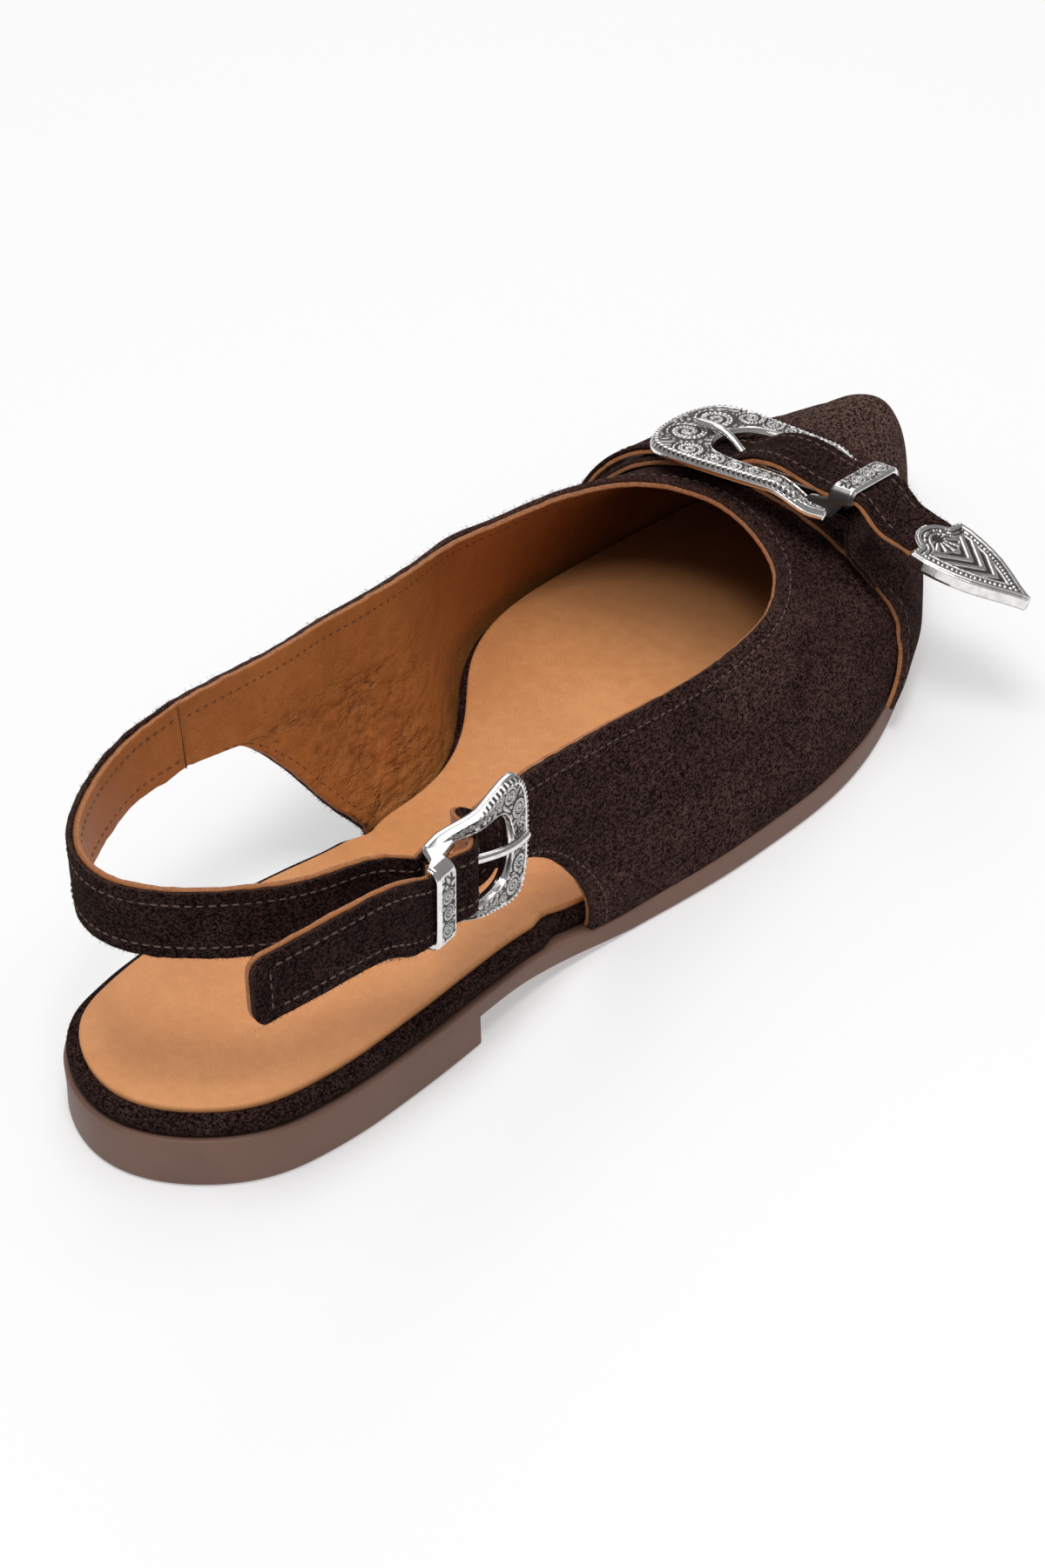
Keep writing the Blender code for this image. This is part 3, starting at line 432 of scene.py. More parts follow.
def loop(stations, inset, height):
    """Closed ring of points round the shoe: up the medial side, back down the lateral side.

    inset is a length or a function of the share of length, and height is such a function.
    """
    at_toe = inset(1.0) if callable(inset) else inset
    stations = stations * last_share(at_toe)
    moved = inset(stations) if callable(inset) else np.full(len(stations), inset)
    medial = np.column_stack([outline_point(stations, -1, moved), height(stations)])
    lateral = np.column_stack([outline_point(stations, 1, moved), height(stations)])
    return np.vstack([medial, lateral[::-1]])


def board_inset(at, extra=0.0):
    """The board stands back a ledge from the sole's edge, and inside the upper's wall further on."""
    inside = UPPER_LEDGE + UPPER_WALL + BOARD_PLAY
    start = MEDIAL_FEATHER_END - 0.040
    at_toe = TOE_PLAY * ease((at - 0.90) / 0.08)
    return BOARD_LEDGE + (inside - BOARD_LEDGE) * ease((at - start) / 0.024) + at_toe + extra


def board_top(at, below=0.0):
    """Height of the board's top, or of a place below it."""
    return sole_top(at) + GAP + BOARD_THICKNESS - below


def insole_inset(at, extra=0.0):
    """The sock stands back from the board's edge, a little less from the waist on."""
    return board_inset(at, INSOLE_MARGIN * (1 - 0.4 * ease((at - 0.34) / 0.03)) + extra)


print("the sock ends at", round(float(last_share(insole_inset(1.0))), 3), "of the length")

# %% [markdown]
# ## The upper's surface
# The leather is pulled over a last, so it is a smooth skin without flat places. It could be a subdivided
# box, but the cut edges have to lie exactly on it, so it is a function of two numbers: how far along the
# shoe, and how far over from one feather edge to the other. Each section is one cubic curve.

# %% Upper's surface
def skin(at, place, lift=0.0):
    """Outer surface of the upper.

    at is the share of length. place runs from -1 at the medial feather edge over 0 at the ridge to 1
    at the lateral feather edge. Each section is a cubic curve that leaves the sole upright, swings
    out, and meets the ridge level; both ends of it close round the toe. lift moves it outwards.
    """
    at, place = np.broadcast_arrays(np.asarray(at, float), np.asarray(place, float))

    def raw(share, where):
        side = np.where(where < 0, -1.0, 1.0)
        columns = [np.where(where < 0, spline(SECTIONS, k, share),
                            spline(SECTIONS, k + SIDE_COLUMNS, share)) for k in (OUT, RISE, BREADTH)]
        toe = round_end((1 - share) * SOLE_LENGTH, TOE_ROUND)
        box = round_end((1 - share) * SOLE_LENGTH, TOE_BOX_ROUND)
        low = sole_top(share) + GAP
        edge = np.where(where < 0, outline_point(share, -1)[..., 0], outline_point(share, 1)[..., 0])
        middle = BALL_WIDTH * spline(OUTLINE, CENTRE, share)
        edge = middle + side * np.maximum(np.abs(edge - middle) - UPPER_LEDGE, 0)
        ridge = BALL_WIDTH * spline(SECTIONS, RIDGE_PLACE, share)
        top = low + (INSTEP_HEIGHT * spline(SECTIONS, RIDGE_HEIGHT, share) - low) * box
        t = 1 - np.abs(where)
        weights = ((1 - t) ** 3, 3 * (1 - t) ** 2 * t, 3 * (1 - t) * t ** 2, t ** 3)
        xs = (edge, edge + side * BALL_WIDTH * columns[0] * toe,
              ridge + side * BALL_WIDTH * columns[2] * toe, ridge)
        zs = (low, low + INSTEP_HEIGHT * columns[1] * box, top, top)
        x = sum(w * v for w, v in zip(weights, xs))
        z = sum(w * v for w, v in zip(weights, zs))
        return np.stack([x, np.broadcast_to(along(share), x.shape), z], axis=-1)

    points = raw(at, place)
    if np.any(lift):
        probe = 1e-4
        ahead = raw(at + probe, place) - raw(at - probe, place)
        near = np.clip(place, -1 + probe, 1 - probe)
        over = raw(at, near + probe) - raw(at, near - probe)
        normal = np.cross(over, ahead)
        normal /= np.linalg.norm(normal, axis=-1, keepdims=True)
        points = points + normal * np.asarray(lift)[..., None]
    return points


print("height of the ridge over the ball:", skin(0.649, 0.0)[2].round(4))

# %% [markdown]
# ## The upper's pattern
# A pattern cutter lays the upper flat. Its grid joins the feather edge, where it meets the sole, to the
# throat edge with straight lines, and bends at both ends to the rear edges of the wings. So each cut
# edge is a row or a column of the grid, and no hole has to be cut into the surface afterwards.

# %% Upper's pattern
def half_girth(at):
    """Rough width of the pattern from feather edge to ridge, which spaces the grid's rows."""
    toe = round_end((1 - at) * SOLE_LENGTH, TOE_ROUND)
    tall = INSTEP_HEIGHT * spline(SECTIONS, RIDGE_HEIGHT, at)
    return toe * (BALL_WIDTH * spline(OUTLINE, HALF, at) + 0.6 * tall)


def upper_pattern(columns, rows):
    """Grid over the upper's pattern: rows from feather edge to throat, columns round the toe.

    Straight lines on the flat pattern join the feather edge to the throat edge, and near the wings
    the grid bends to their rear edges.
    """
    turn = np.linspace(-1, 1, columns)[None, :]
    climb = np.linspace(0, 1, rows)[:, None]
    end = np.where(turn < 0, MEDIAL_FEATHER_END, LATERAL_FEATHER_END)
    foot_at = 1 - (1 - end) * turn ** 2
    foot_across = np.sign(turn) * half_girth(foot_at)
    top_at = spline(THROAT, ALONG, turn)
    top_across = spline(THROAT, ACROSS, turn) * half_girth(top_at)
    at = foot_at + (top_at - foot_at) * climb
    place = (foot_across + (top_across - foot_across) * climb) / np.maximum(half_girth(at), 1e-9)
    for side, column, pick in ((-1, 1, 0), (1, 3, -1)):
        fade = np.clip(1 - (1 - side * turn) / WING_FADE, 0, 1) ** 2
        shift_at = spline(WING_EDGES, column, climb) - at[:, pick][:, None]
        shift_place = spline(WING_EDGES, column + 1, climb) - place[:, pick][:, None]
        at = at + shift_at * fade
        place = place + shift_place * fade
    place = np.clip(place, -1, 1)
    place[0] = np.where(turn[0] < 0, -1, 1)
    return at, place


print("share of the length at the throat's ends and front:", upper_pattern(3, 2)[0][-1].round(3))

# %% [markdown]
# ## Places of the buckles
# Both buckles are the same kind of casting at two places, turned in two ways. Each could be modelled
# flat and then turned as an object, but a finished object stays unturned, so a seat turns the points:
# x to the frame's front, y along its bar, z out of its face.

# %% Seats of the buckles
def unit(vector):
    vector = np.asarray(vector, float)
    return vector / np.linalg.norm(vector, axis=-1, keepdims=True)


def from_shares(rows):
    """World points from shares of the ball width, the sole's length and the strap's height."""
    rows = np.array(rows, dtype=float)
    return np.column_stack([rows[:, 0] * BALL_WIDTH, along(rows[:, 1]), rows[:, 2] * STRAP_HEIGHT])


class Seat:
    """Frame of a buckle: x to the front of the frame, y along the bar, z out of its face."""

    def __init__(self, place, ahead, face):
        self.origin = from_shares([place])[0]
        self.x = unit(ahead)
        self.z = unit(np.asarray(face, float) - np.dot(face, self.x) * self.x)
        self.y = np.cross(self.z, self.x)

    def world(self, points):
        points = np.asarray(points, float)
        return (self.origin + points[..., :1] * self.x + points[..., 1:2] * self.y
                + points[..., 2:] * self.z)

    def middle(self, rows):
        """World points in the middle plane, from shares of the bar's radius."""
        return self.world([(x * BAR_RADIUS, 0.0, z * BAR_RADIUS) for x, z in rows])


side_seat = Seat(*SIDE_BUCKLE)
vamp_seat = Seat(*VAMP_BUCKLE)
print("side buckle at", side_seat.origin.round(4), "vamp buckle at", vamp_seat.origin.round(4))

# %% [markdown]
# ## Ways of the straps
# A strap bends easily over its face and hardly over its edge, so it is a smooth path with a direction
# across it at each point. A curve with a bevel would twist where it pleases. Here the points next to a
# buckle or a seam carry that part's own direction, and the rest follows smoothly.

# %% Ways of the straps
def smooth_path(points, count):
    """Natural cubic through points, spaced by the distances between them."""
    points = np.asarray(points, float)
    steps = np.linalg.norm(np.diff(points, axis=0), axis=1)
    share = np.concatenate([[0], np.cumsum(steps)]) / steps.sum()
    table = np.column_stack([share, points])
    at = np.linspace(0, 1, count)
    return np.column_stack([spline(table, k, at) for k in (1, 2, 3)]), share, at


def loop_round_bar(seat, side):
    """Points of a strap's folded end: in along one face of the bar, round it and back.

    side is -1 when the strap comes in under the bar and folds back over it.
    """
    turn = np.radians(np.linspace(-90, 90, 7)) * -side
    arc = np.column_stack([LOOP_LIFT * np.cos(turn), np.zeros(7), LOOP_LIFT * np.sin(turn)])
    start = [(-2 * LOOP_LIFT, 0, side * LOOP_LIFT)]
    back = [(-1.3 * LOOP_LIFT, 0, -side * LOOP_LIFT * 0.85),
            (-2.4 * LOOP_LIFT, 0, -side * LOOP_LIFT * 0.45)]
    return seat.world(np.vstack([start, arc, back]))


def wing_seam(column):
    """First two points of a strap that carries a wing on, and the upright direction of the seam."""
    seam = WING_EDGES[-1][column]
    low, middle, high = (row[column + 1] for row in WING_EDGES[-3:])
    first = skin(seam, middle, -UPPER_WALL / 2) - np.array([0, SEAM_GAP, 0])
    return [first, first - np.array([0, SEAM_RUN, 0])], unit(skin(seam, high) - skin(seam, low))


def under_keeper(seat):
    """Points of a loose strap that lies over the folded end on the bar, then under the keeper."""
    behind = KEEPER_SETBACK + KEEPER_WIDTH / 2
    return seat.world([(BAR_RADIUS, 0, OVER_LIFT), (-KEEPER_SETBACK, 0, OVER_LIFT),
                       (-behind, 0, OVER_LIFT)])


def on_band(rows, thickness):
    """Points on the middle of a strap that lies on the overlay band, and the direction across it."""
    rows = np.array(rows)
    lift = np.full(len(rows), GAP + BAND_THICKNESS + REST + thickness / 2)
    reach = STRAP_WIDTH / 2 / SOLE_LENGTH
    across = skin(rows[:, 0] - reach, rows[:, 1], lift) - skin(rows[:, 0] + reach, rows[:, 1], lift)
    return skin(rows[:, 0], rows[:, 1], lift), unit(across)


def strap_path(path, ups, count):
    """Dense path with its unit vectors across, out of the face, and its lengths along."""
    dense, share, at = smooth_path(path, count)
    table = np.column_stack([share, ups])
    across = np.column_stack([spline(table, k, at) for k in (1, 2, 3)])
    tangent = unit(np.gradient(dense, axis=0))
    across = unit(across - np.sum(across * tangent, axis=1, keepdims=True) * tangent)
    length = np.concatenate([[0], np.cumsum(np.linalg.norm(np.diff(dense, axis=0), axis=1))])
    return dense, across, np.cross(tangent, across), length


print("the folded end reaches", loop_round_bar(side_seat, -1)[-1].round(4))

# %% [markdown]
# ## Building meshes
# A piece is a list of grids of points. They could be built face by face with bmesh, which is slow in
# Python, so whole arrays go into the mesh at once. Numbers per point, such as how deep a point lies in a
# carved recess, become attributes that the materials read.

# %% Mesh tools
def quads(rows, columns, round_columns=False):
    """Corner numbers of the quads of a grid of points."""
    index = np.arange(rows * columns).reshape(rows, columns)
    if round_columns:
        index = np.concatenate([index, index[:, :1]], axis=1)
    corners = index[:-1, :-1], index[:-1, 1:], index[1:, 1:], index[1:, :-1]
    return np.stack(corners, axis=-1).reshape(-1, 4)


class Piece:
    """Collects grids of points and makes one mesh object of them."""

    def __init__(self, name):
        self.name, self.points, self.faces, self.values, self.count = name, [], [], {}, 0

    def raw(self, points, faces, **values):
        """Add loose points and quads. values are numbers per point."""
        points = np.asarray(points, float).reshape(-1, 3)
        for key in set(self.values) | set(values):
            before = self.values.setdefault(key, [np.zeros(self.count)])
            extra = values.get(key, 0.0)
            before.append(np.broadcast_to(np.asarray(extra, float).reshape(-1), (len(points),)))
        self.faces.append(np.asarray(faces) + self.count)
        self.points.append(points)
        self.count += len(points)
        return self

    def grid(self, points, round_columns=False, flip=False, **values):
        """Add a grid of points."""
        faces = quads(points.shape[0], points.shape[1], round_columns)
        return self.raw(points, faces[:, ::-1] if flip else faces, **values)

    def build(self, material, slot, node=None):
        """Make the object, put it on the shoe, and say how big it is."""
        points = np.concatenate(self.points)
        faces = np.concatenate(self.faces).astype(np.int32)
        mesh = bpy.data.meshes.new(self.name)
        mesh.vertices.add(len(points))
        mesh.vertices.foreach_set("co", points.astype(np.float32).ravel())
        mesh.loops.add(faces.size)
        mesh.loops.foreach_set("vertex_index", faces.ravel())
        mesh.polygons.add(len(faces))
        mesh.polygons.foreach_set("loop_start", np.arange(0, faces.size, 4, dtype=np.int32))
        mesh.polygons.foreach_set("use_smooth", np.ones(len(faces), bool))
        for key, parts in self.values.items():
            layer = mesh.attributes.new(key, "FLOAT", "POINT")
            layer.data.foreach_set("value", np.concatenate(parts).astype(np.float32))
        mesh.update(calc_edges=True)
        mesh.validate()
        thing = bpy.data.objects.new(self.name, mesh)
        bpy.context.scene.collection.objects.link(thing)
        mesh.materials.append(material)
        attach(thing, "root")
        if node:
            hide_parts(node)
        print(self.name, len(faces) * 2, "triangles")
        return thing


print("quads of a strip of 3 by 3 points:", len(quads(3, 3)))

# %% [markdown]
# ## Unevenness
# Nothing cut and sewn by hand is quite even. A displace modifier could add that, but its texture can't
# follow the pattern of the upper. A sum of a few plane waves in random directions is smooth, has a known
# wave length, and gives the same value for the same point each time.

# %% Unevenness and creases
def waves(points, size, seed, count=14):
    """Smooth noise from -1 to 1: a sum of plane waves in random directions."""
    rng = np.random.default_rng(seed)
    total = np.zeros(points.shape[:-1])
    for _ in range(count):
        direction = rng.normal(size=3)
        direction *= 2 * math.pi / (size * np.linalg.norm(direction) * rng.uniform(0.7, 1.5))
        total += np.sin(points @ direction + rng.uniform(0, 2 * math.pi))
    return total / math.sqrt(count * 2)


def surface_normals(points):
    """Unit normals of a grid, from its rows' direction crossed with its columns' direction."""
    normal = np.cross(np.gradient(points, axis=0), np.gradient(points, axis=1))
    return normal / np.maximum(np.linalg.norm(normal, axis=-1, keepdims=True), 1e-12)


def strokes(x, y, table):
    """Soft troughs: each row has start, end, half width and depth. Depths add up."""
    total = np.zeros(np.broadcast(x, y).shape)
    for x0, y0, x1, y1, width, depth in table:
        length = (x1 - x0) ** 2 + (y1 - y0) ** 2
        t = np.clip(((x - x0) * (x1 - x0) + (y - y0) * (y1 - y0)) / length, 0, 1)
        distance = np.hypot(x - x0 - t * (x1 - x0), y - y0 - t * (y1 - y0))
        fading = 0.35 + 0.65 * np.sin(math.pi * np.clip(t, 0.06, 0.94))
        total += depth * np.exp(-(distance / width) ** 2) * fading
    return total


print("unevenness at the heel:", waves(np.zeros((1, 3)), 10 * MM, 1).round(2))

# %% [markdown]
# ## Cut edges
# A sheet of leather shows its thickness wherever it is cut. Solidify would give a hard square rim, but
# the real edge is rounded by the knife and a little ragged. So rings of points are added round a grid,
# each further out and deeper than the one before, and a few waves push them in and out.

# %% Cut edges
ROLL = ((0.10, 0.02), (0.20, 0.08), (0.27, 0.18), (0.30, 0.32), (0.30, 0.62), (0.30, 0.85), (0.22, 1.0))


def sheet(points, normals, depth, ragged=0.12 * MM, seed=1):
    """Grid with its border rolled over: a cut edge of leather, a little ragged.

    ROLL says for each extra ring of points how far out and how deep it lies, as shares of the
    depth. Returns the grid and how much each point belongs to the cut edge.
    """
    count = len(ROLL)
    wide = np.pad(points, ((count, count), (count, count), (0, 0)), mode="edge")
    face = np.pad(normals, ((count, count), (count, count), (0, 0)), mode="edge")
    row_way = unit(points[-1] - points[-2]), unit(points[0] - points[1])
    column_way = unit(points[:, -1] - points[:, -2]), unit(points[:, 0] - points[:, 1])
    rows, columns = wide.shape[:2]
    away = np.zeros_like(wide)
    i = np.arange(rows)
    j = np.arange(columns)
    inside_rows = np.clip(i - count, 0, points.shape[0] - 1)
    inside_columns = np.clip(j - count, 0, points.shape[1] - 1)
    up = np.clip(i - (rows - 1 - count), 0, count)
    down = np.clip(count - i, 0, count)
    right = np.clip(j - (columns - 1 - count), 0, count)
    left = np.clip(count - j, 0, count)
    away += (up > 0)[:, None, None] * row_way[0][inside_columns][None]
    away += (down > 0)[:, None, None] * row_way[1][inside_columns][None]
    away += (right > 0)[None, :, None] * column_way[0][inside_rows][:, None]
    away += (left > 0)[None, :, None] * column_way[1][inside_rows][:, None]
    away /= np.maximum(np.linalg.norm(away, axis=-1, keepdims=True), 1e-9)
    ring = np.maximum(np.maximum(up, down)[:, None], np.maximum(left, right)[None, :])
    out = np.array([0] + [row[0] for row in ROLL])[ring] * depth
    deep = np.array([0] + [row[1] for row in ROLL])[ring] * depth
    torn = waves(wide, 4 * MM, seed) + 0.5 * waves(wide, 1.2 * MM, seed + 1)
    out = out + (ring > 0) * ragged * torn
    return wide + away * out[..., None] - face * deep[..., None], (ring > 2).astype(float)


print("rings of points on a cut edge:", len(ROLL))

# %% [markdown]
# ## Shader tools
# A material could be wired by hand, but a script can be read and repeated. Arithmetic on sockets is
# written as plain expressions, which add their Math nodes. Any other node comes from one method that
# takes its type, its settings and the values or links of its sockets.

# %% Shader tools
class Value:
    """Number that comes out of a shader socket, with the usual arithmetic."""

    def __init__(self, shader, socket):
        self.shader, self.socket = shader, socket

    def _math(self, operation, first, second):
        node = self.shader.node("ShaderNodeMath", {"operation": operation}, {0: first, 1: second})
        return Value(self.shader, node.outputs[0])

    def __add__(self, other):
        return self._math("ADD", self, other)

    __radd__ = __add__

    def __mul__(self, other):
        return self._math("MULTIPLY", self, other)

    __rmul__ = __mul__

    def __sub__(self, other):
        return self._math("SUBTRACT", self, other)

    def __rsub__(self, other):
        return self._math("SUBTRACT", other, self)


class Shader:
    """A material with one Principled shader."""

    def __init__(self, name):
        self.material = bpy.data.materials.new(name)
        self.material.use_nodes = True
        self.tree = self.material.node_tree
        self.main = self.tree.nodes["Principled BSDF"]
        self.place = self.node("ShaderNodeTexCoord").outputs["Object"]

    def node(self, kind, settings=None, inputs=None):
        """New node with its settings, then its sockets' values or links."""
        made = self.tree.nodes.new(kind)
        for key, value in (settings or {}).items():
            setattr(made, key, value)
        for key, value in (inputs or {}).items():
            self.put(made.inputs[key], value)
        return made

    def put(self, socket, value):
        """Link or set one socket."""
        if isinstance(value, Value):
            value = value.socket
        if isinstance(value, bpy.types.NodeSocket):
            self.tree.links.new(value, socket)
        elif hasattr(value, "__len__") and len(value) == 3 and socket.type == "RGBA":
            socket.default_value = (*value, 1)
        else:
            socket.default_value = value

    def value(self, name):
        """An attribute of the mesh."""
        return Value(self, self.node("ShaderNodeAttribute", {"attribute_name": name}).outputs["Fac"])

    def scaled(self, size, stretch):
        """Object coordinates in which a pattern's grains have that size in metres."""
        scale = [share / size for share in stretch]
        mapping = self.node("ShaderNodeMapping", {}, {"Vector": self.place, "Scale": scale})
        return mapping.outputs[0]

    def noise(self, size, detail=2.0, rough=0.5, stretch=(1, 1, 1)):
        """Noise with grains of that size in metres."""
        made = self.node("ShaderNodeTexNoise", {}, {"Vector": self.scaled(size, stretch), "Scale": 1.0,
                                                    "Detail": detail, "Roughness": rough})
        return Value(self, made.outputs[0])

    def cells(self, size):
        """Distance to the nearest border in a pattern of cells of that size in metres."""
        made = self.node("ShaderNodeTexVoronoi", {"feature": "DISTANCE_TO_EDGE"},
                         {"Vector": self.scaled(size, (1, 1, 1)), "Scale": 1.0})
        return Value(self, made.outputs["Distance"])

    def between(self, value, low, high, start=0.0, end=1.0):
        """Value mapped from low..high to start..end, smoothly and held at the ends."""
        made = self.node("ShaderNodeMapRange", {"interpolation_type": "SMOOTHSTEP"},
                         {"Value": value, "From Min": low, "From Max": high,
                          "To Min": start, "To Max": end})
        return Value(self, made.outputs[0])

    def mix(self, share, first, second):
        """Colour between two colours."""
        made = self.node("ShaderNodeMix", {"data_type": "RGBA"}, {0: share, 6: first, 7: second})
        return made.outputs[2]

    def bump(self, height, distance, strength=1.0):
        """Normal from a height."""
        inputs = {"Height": height, "Distance": distance, "Strength": strength}
        return self.node("ShaderNodeBump", {}, inputs).outputs[0]

    def done(self, **inputs):
        """Fill the main shader's sockets and hand over the material."""
        for key, value in inputs.items():
            self.put(self.main.inputs[key.replace("_", " ")], value)
        print(self.material.name, len(self.tree.nodes), "nodes")
        return self.material


# %% [markdown]
# ## Suede
# Suede is the flesh side of leather, ground to a short nap. Its fibres catch light at their tips and
# swallow it between them, so it looks speckled and has no gloss. Hair would cost millions of curves.
# Two sizes of noise stand for the fibres, and slow patches for where a hand has brushed them. The
# straps are of a darker, unbrushed cut, and a painted highlight makes the suede paler towards the toe.

# %% Suede
def suede(name, depth=1.0):
    """Dark brown nap: brushed patches, short fibres that catch the light, and a browner cut edge.

    depth multiplies all tones. The attribute "pale" mixes in a paler colour, a painted highlight.
    """
    s = Shader(name)
    patches = s.noise(30 * MM, 3.0, 0.6)
    brushed = s.noise(9 * MM, 3.0, 0.55, (1.0, 0.5, 1.0))
    nap = s.noise(0.85 * MM, 3.0, 0.7, (1.2, 0.8, 1.2))
    fine = s.noise(0.42 * MM, 2.0, 0.7)
    fibres = s.between(nap * 0.40 + fine * 0.60, 0.43, 0.60)
    edge = s.value("edge")
    tone = s.between(patches * 0.5 + brushed * 0.5, 0.32, 0.70)
    shades = (0.0030, 0.0012, 0.0012), (0.0075, 0.0034, 0.0032)
    lights = (0.064, 0.0310, 0.0285), (0.118, 0.0630, 0.0540)
    shade = s.mix(tone, *[[c * depth for c in one] for one in shades])
    light = s.mix(tone, *[[c * depth for c in one] for one in lights])
    # painted highlight: paler fibres towards the toe
    light = s.mix(s.value("pale"), light, (0.23, 0.135, 0.110))
    colour = s.mix(fibres, shade, light)
    colour = s.mix(edge * 0.25, colour, (0.11, 0.055, 0.040))
    normal = s.bump(nap * 0.55 + fine * 0.45, 0.5 * MM, 1.0)
    return s.done(Base_Color=colour, Roughness=1.0, Normal=normal, Specular_IOR_Level=0.05)


SUEDE = suede("suede")
DARK_SUEDE = suede("suede_unbrushed", 0.62)

# %% [markdown]
# ## Tan leather
# The lining and the sock are smooth tan leather with a fine pebble grain, cloudy where the dye took
# unevenly, and paler on a cut edge. Painted shade darkens the creases, the fine wrinkles and the
# closed toe. An image could hold all that, but noise and cells on Object coordinates never stretch or
# repeat. The fine wrinkles are the places where a slow noise crosses its middle value, because those
# places form long, thin, branching lines.

# %% Tan leather
def tan_leather(name, light, dark, edge_colour, grain, gloss):
    """Tan leather: a fine pebble grain, cloudy colour, painted shade in the creases, pale cut edges.

    The attribute "crease" paints shade into the creases, and one more paints shade into the closed toe.
    "wrinkle" says where thin lines of painted shade are seen, and "edge" is 1 on a cut edge. grain is the
    size of the pebbles, gloss the lowest roughness.
    """
    s = Shader(name)
    cloud = s.noise(24 * MM, 3.0, 0.55)
    mottle = s.noise(2.6 * MM, 4.0, 0.65)
    pebble = s.cells(grain)
    pores = s.noise(grain * 0.55, 3.0, 0.6)
    edge = s.value("edge")
    crease = s.value("crease")
    long_lines = s.noise(8.0 * MM, 4.0, 0.55, (1.0, 0.6, 1.3))
    short_lines = s.noise(4.0 * MM, 4.0, 0.6, (1.2, 0.7, 1.0))
    long_crackle = s.between(long_lines, 0.465, 0.50) * s.between(long_lines, 0.50, 0.535, 1.0, 0.0)
    short_crackle = s.between(short_lines, 0.46, 0.50) * s.between(short_lines, 0.50, 0.54, 0.7, 0.0)
    crackle = (long_crackle + short_crackle) * s.value("wrinkle")
    colour = s.mix(s.between(cloud * 0.55 + mottle * 0.45, 0.36, 0.66), dark, light)
    colour = s.mix(s.between(pebble, 0.0, 0.09, 0.30, 0.0), colour, [c * 0.62 for c in dark])
    # painted shade in the creases
    colour = s.mix(s.between(crease, 0.0, 1.0, 0.0, 0.55), colour, [c * 0.40 for c in dark])
    # painted shade inside the closed toe, where little light comes in
    colour = s.mix(s.value("worn") * 0.72, colour, [c * 0.16 for c in dark])
    # painted shade along the fine wrinkle lines
    colour = s.mix(crackle * 0.32, colour, [c * 0.40 for c in dark])
    fibres = s.noise(0.5 * MM, 3.0, 0.7, (1, 1, 2.5))
    cut = s.mix(s.between(fibres, 0.35, 0.65), [c * 0.55 for c in edge_colour], edge_colour)
    colour = s.mix(edge, colour, cut)
    rough = s.between(mottle * 0.6 + pores * 0.4, 0.3, 0.7, gloss, gloss + 0.16) + edge * 0.3
    normal = s.bump(s.between(pebble, 0.0, 0.16) * 0.2 + pores * 0.2 - crackle * 1.0, 0.20 * MM, 0.8)
    return s.done(Base_Color=colour, Roughness=rough, Normal=normal, Specular_IOR_Level=0.4)


LINING = tan_leather("lining", (0.46, 0.165, 0.042), (0.36, 0.120, 0.028), (0.47, 0.19, 0.080),
                     grain=0.9 * MM, gloss=0.40)
SOCK = tan_leather("sock", (0.755, 0.335, 0.128), (0.655, 0.275, 0.097), (0.42, 0.18, 0.075),
                   grain=0.55 * MM, gloss=0.38)

# %% [markdown]
# ## Moulded rubber
# The sole unit is one moulding of taupe rubber. The mould leaves it matt and finely pitted, and handling
# leaves pale scuffs. Both are weak, so colour, roughness and a slight bump are enough.

# %% Rubber
def rubber(name):
    """Moulded taupe rubber, matte, with fine pitting and a faint scuff."""
    s = Shader(name)
    pits = s.noise(0.35 * MM, 3.0, 0.6)
    cloud = s.noise(18 * MM, 3.0, 0.5)
    scuff = s.noise(2.2 * MM, 4.0, 0.7, (1, 1, 5))
    colour = s.mix(s.between(cloud, 0.35, 0.65), (0.168, 0.086, 0.059), (0.196, 0.104, 0.072))
    colour = s.mix(s.between(scuff, 0.62, 0.75, 0.0, 0.25), colour, (0.34, 0.23, 0.19))
    rough = s.between(cloud * 0.5 + scuff * 0.5, 0.3, 0.7, 0.48, 0.62)
    return s.done(Base_Color=colour, Roughness=rough, Normal=s.bump(pits, 0.04 * MM, 0.6))


RUBBER = rubber("moulded_rubber")

# %% [markdown]
# ## Antique silver
# Cast silver is dipped until it blackens, then polished, so the high places are bright and the recesses
# stay dark. A pointiness trick could find the recesses, but the carving's depth is known when its mesh
# is made, so it rides along as an attribute and drives colour, roughness and metal together. The same
# attribute carries a painted dark reflection on the legs of the vamp buckle's keeper.

# %% Antique silver
def silver(name):
    """Cast silver: bright on high places, dulled in the recesses and by a painted dark reflection, lightly
    scratched.
    """
    s = Shader(name)
    recess = s.value("recess")
    stain = s.noise(1.4 * MM, 3.0, 0.6)
    scratch = s.noise(0.5 * MM, 2.0, 0.6, (5, 1, 1))
    dark = s.between(recess + (stain - 0.5) * 0.25, 0.15, 0.85)
    polish = s.mix(s.between(stain, 0.35, 0.7), (0.90, 0.88, 0.86), (0.72, 0.70, 0.685))
    colour = s.mix(dark, polish, (0.070, 0.065, 0.062))
    rough = s.between(dark, 0.0, 1.0, 0.13, 0.42) + s.between(stain, 0.4, 0.75, 0.0, 0.08)
    metal = s.between(dark, 0.0, 1.0, 1.0, 0.8)
    normal = s.bump(scratch, 0.012 * MM, 0.35)
    return s.done(Base_Color=colour, Roughness=rough, Metallic=metal, Normal=normal)


SILVER = silver("antique_silver")

# %% [markdown]
# ## Thread and fibres
# Waxed thread and loose suede fibres are too thin to show a pattern of their own. One colour, a little
# uneven, is enough. The seams of the lining get a nearly black thread, because they lie in a shadow gap.

